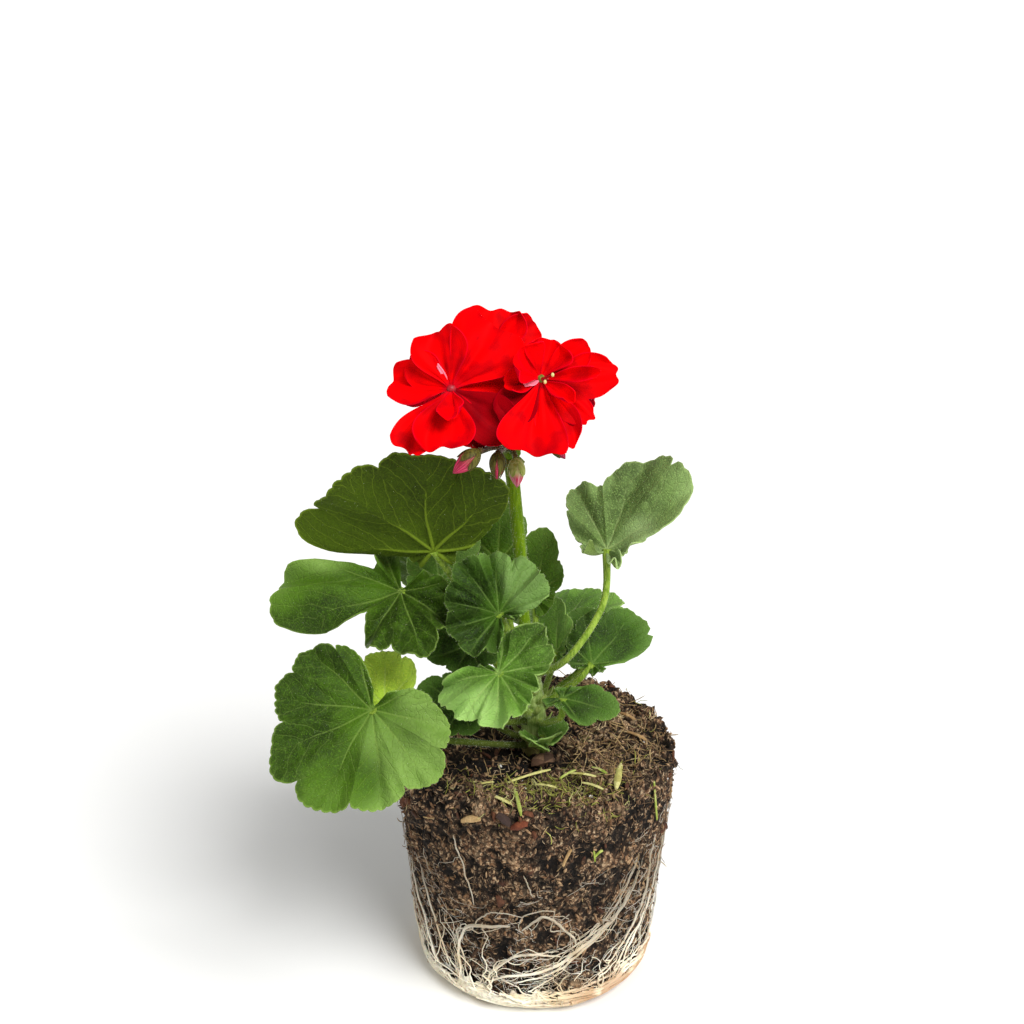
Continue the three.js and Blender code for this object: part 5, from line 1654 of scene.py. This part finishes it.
def makeRootMaterial(name, pale, tan, brown):
    material, tree = newMaterial(name, Roughness=0.6, Subsurface_Weight=0.1, Subsurface_Scale=0.0005)
    place = objectPlace(tree)
    right, _, height = put(tree, "SeparateXYZ", {0: place}).outputs
    patches = noisy(tree, place, 60.0, 3.0)
    colour = mixed(tree, ranged(tree, patches, 0.4, 0.68), paint(*pale), paint(*tan))
    low = times(tree, ranged(tree, height, 0.0, 0.008, 1.0, 0.0),
                ranged(tree, noisy(tree, place, 35.0), 0.42, 0.62))
    colour = mixed(tree, times(tree, low, 0.8), colour, paint(*brown))
    dry = times(tree, ranged(tree, height, 0.006, 0.02, 1.0, 0.0), ranged(tree, right, 0.004, 0.02))
    dry = times(tree, dry, ranged(tree, noisy(tree, place, 90.0), 0.36, 0.5))
    colour = mixed(tree, times(tree, dry, 0.8), colour, paint(170, 126, 82))
    colour = over(tree, colour, paint(136, 124, 106), height, 0.012, 0.05, 0.0, 0.75)
    grime = ranged(tree, noisy(tree, place, 500.0, 3.0), 0.5, 0.75, 0.0, 0.35)
    colour = mixed(tree, grime, colour, paint(*[c * 0.62 for c in tan]))
    return finished(material, colour, noisy(tree, place, 1300.0, 3.0), 0.15, 0.6)


rootMaterial = makeRootMaterial("rootCream", (252, 244, 222), (228, 208, 170), (176, 134, 92))
thinRootMaterial = makeRootMaterial("rootThread", (226, 222, 210), (180, 166, 144), (140, 108, 76))


# The matted skin under the strands, ragged along its top
def matPlace(u, v):
    turn = 2 * math.pi * u
    ragged = 1.4 * np.sin(3 * turn + 1) + 1.1 * np.sin(11 * turn)
    ragged = ragged + 0.9 * np.sin(29 * turn + 2) + 0.6 * np.sin(67 * turn)
    z = 0.5 + v * (7.8 + 1.7 * ragged)
    radius = ballRadius(z) + ballCrumb(turn, z) * np.clip(z / 6, 0, 1) + 0.75
    radius = radius + 0.22 * np.sin(90 * turn + 3 * z) * np.sin(37 * turn - 2 * z)
    radius = radius + 0.2 * np.sin(140 * turn + 5 * z)
    return around(turn, radius, z)


matSkin, _, _ = gridPiece("mat_skin", 420, 9, matPlace)
mergeDoubles(matSkin)
thicken(matSkin, 0.4, rootMaterial, rootMaterial)
smooth(matSkin, 80)
matPiece = threadPiece("root_mat", matLines, rootMaterial)
smooth(matPiece, 80)
climbPiece = threadPiece("climbing_roots", climbLines, rootMaterial)
smooth(climbPiece, 80)
settle(joinPieces("root_net_fine", [matPiece, climbPiece, matSkin]), "root", "root_net")
settle(threadPiece("root_threads", netLines, thinRootMaterial), "root")
print("roots are laid")

# All the down of stalks, edges and blades: three-sided spikes
hairMaterial = makeDriftMaterial("down", 0.5, 90.0, (206, 218, 170), (236, 242, 214))
hairRadius = 0.032
spike = added(bpy.ops.mesh.primitive_cone_add, vertices=3, radius1=hairRadius * mm, radius2=0,
              depth=mm, location=(0, 0, mm / 2))
bpy.ops.object.transform_apply(location=True)
hairPoints = np.concatenate(hairs["points"])
hairDirections = np.concatenate(hairs["directions"])
hairLengths = np.concatenate(hairs["lengths"])
plain = np.ones(len(hairLengths))
hairSizes = np.stack([plain, plain, hairLengths], -1)
hairSpins = hairRandom.random(len(hairPoints)) * 6.28
hairPlaces = placesAlong(hairPoints, hairDirections, hairSpins, hairSizes)
down = scattered("down_hairs", spike, hairPlaces, hairRandom.random(len(hairPoints)), hairMaterial)
bpy.data.objects.remove(spike)
settle(down, "stalk")
print("down:", len(hairPoints), "hairs")

triangles = {piece.name: sum(len(face.vertices) - 2 for face in piece.data.polygons)
             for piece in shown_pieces()}
print("triangles:", sum(triangles.values()), "largest:", max(triangles.items(), key=lambda row: row[1]))
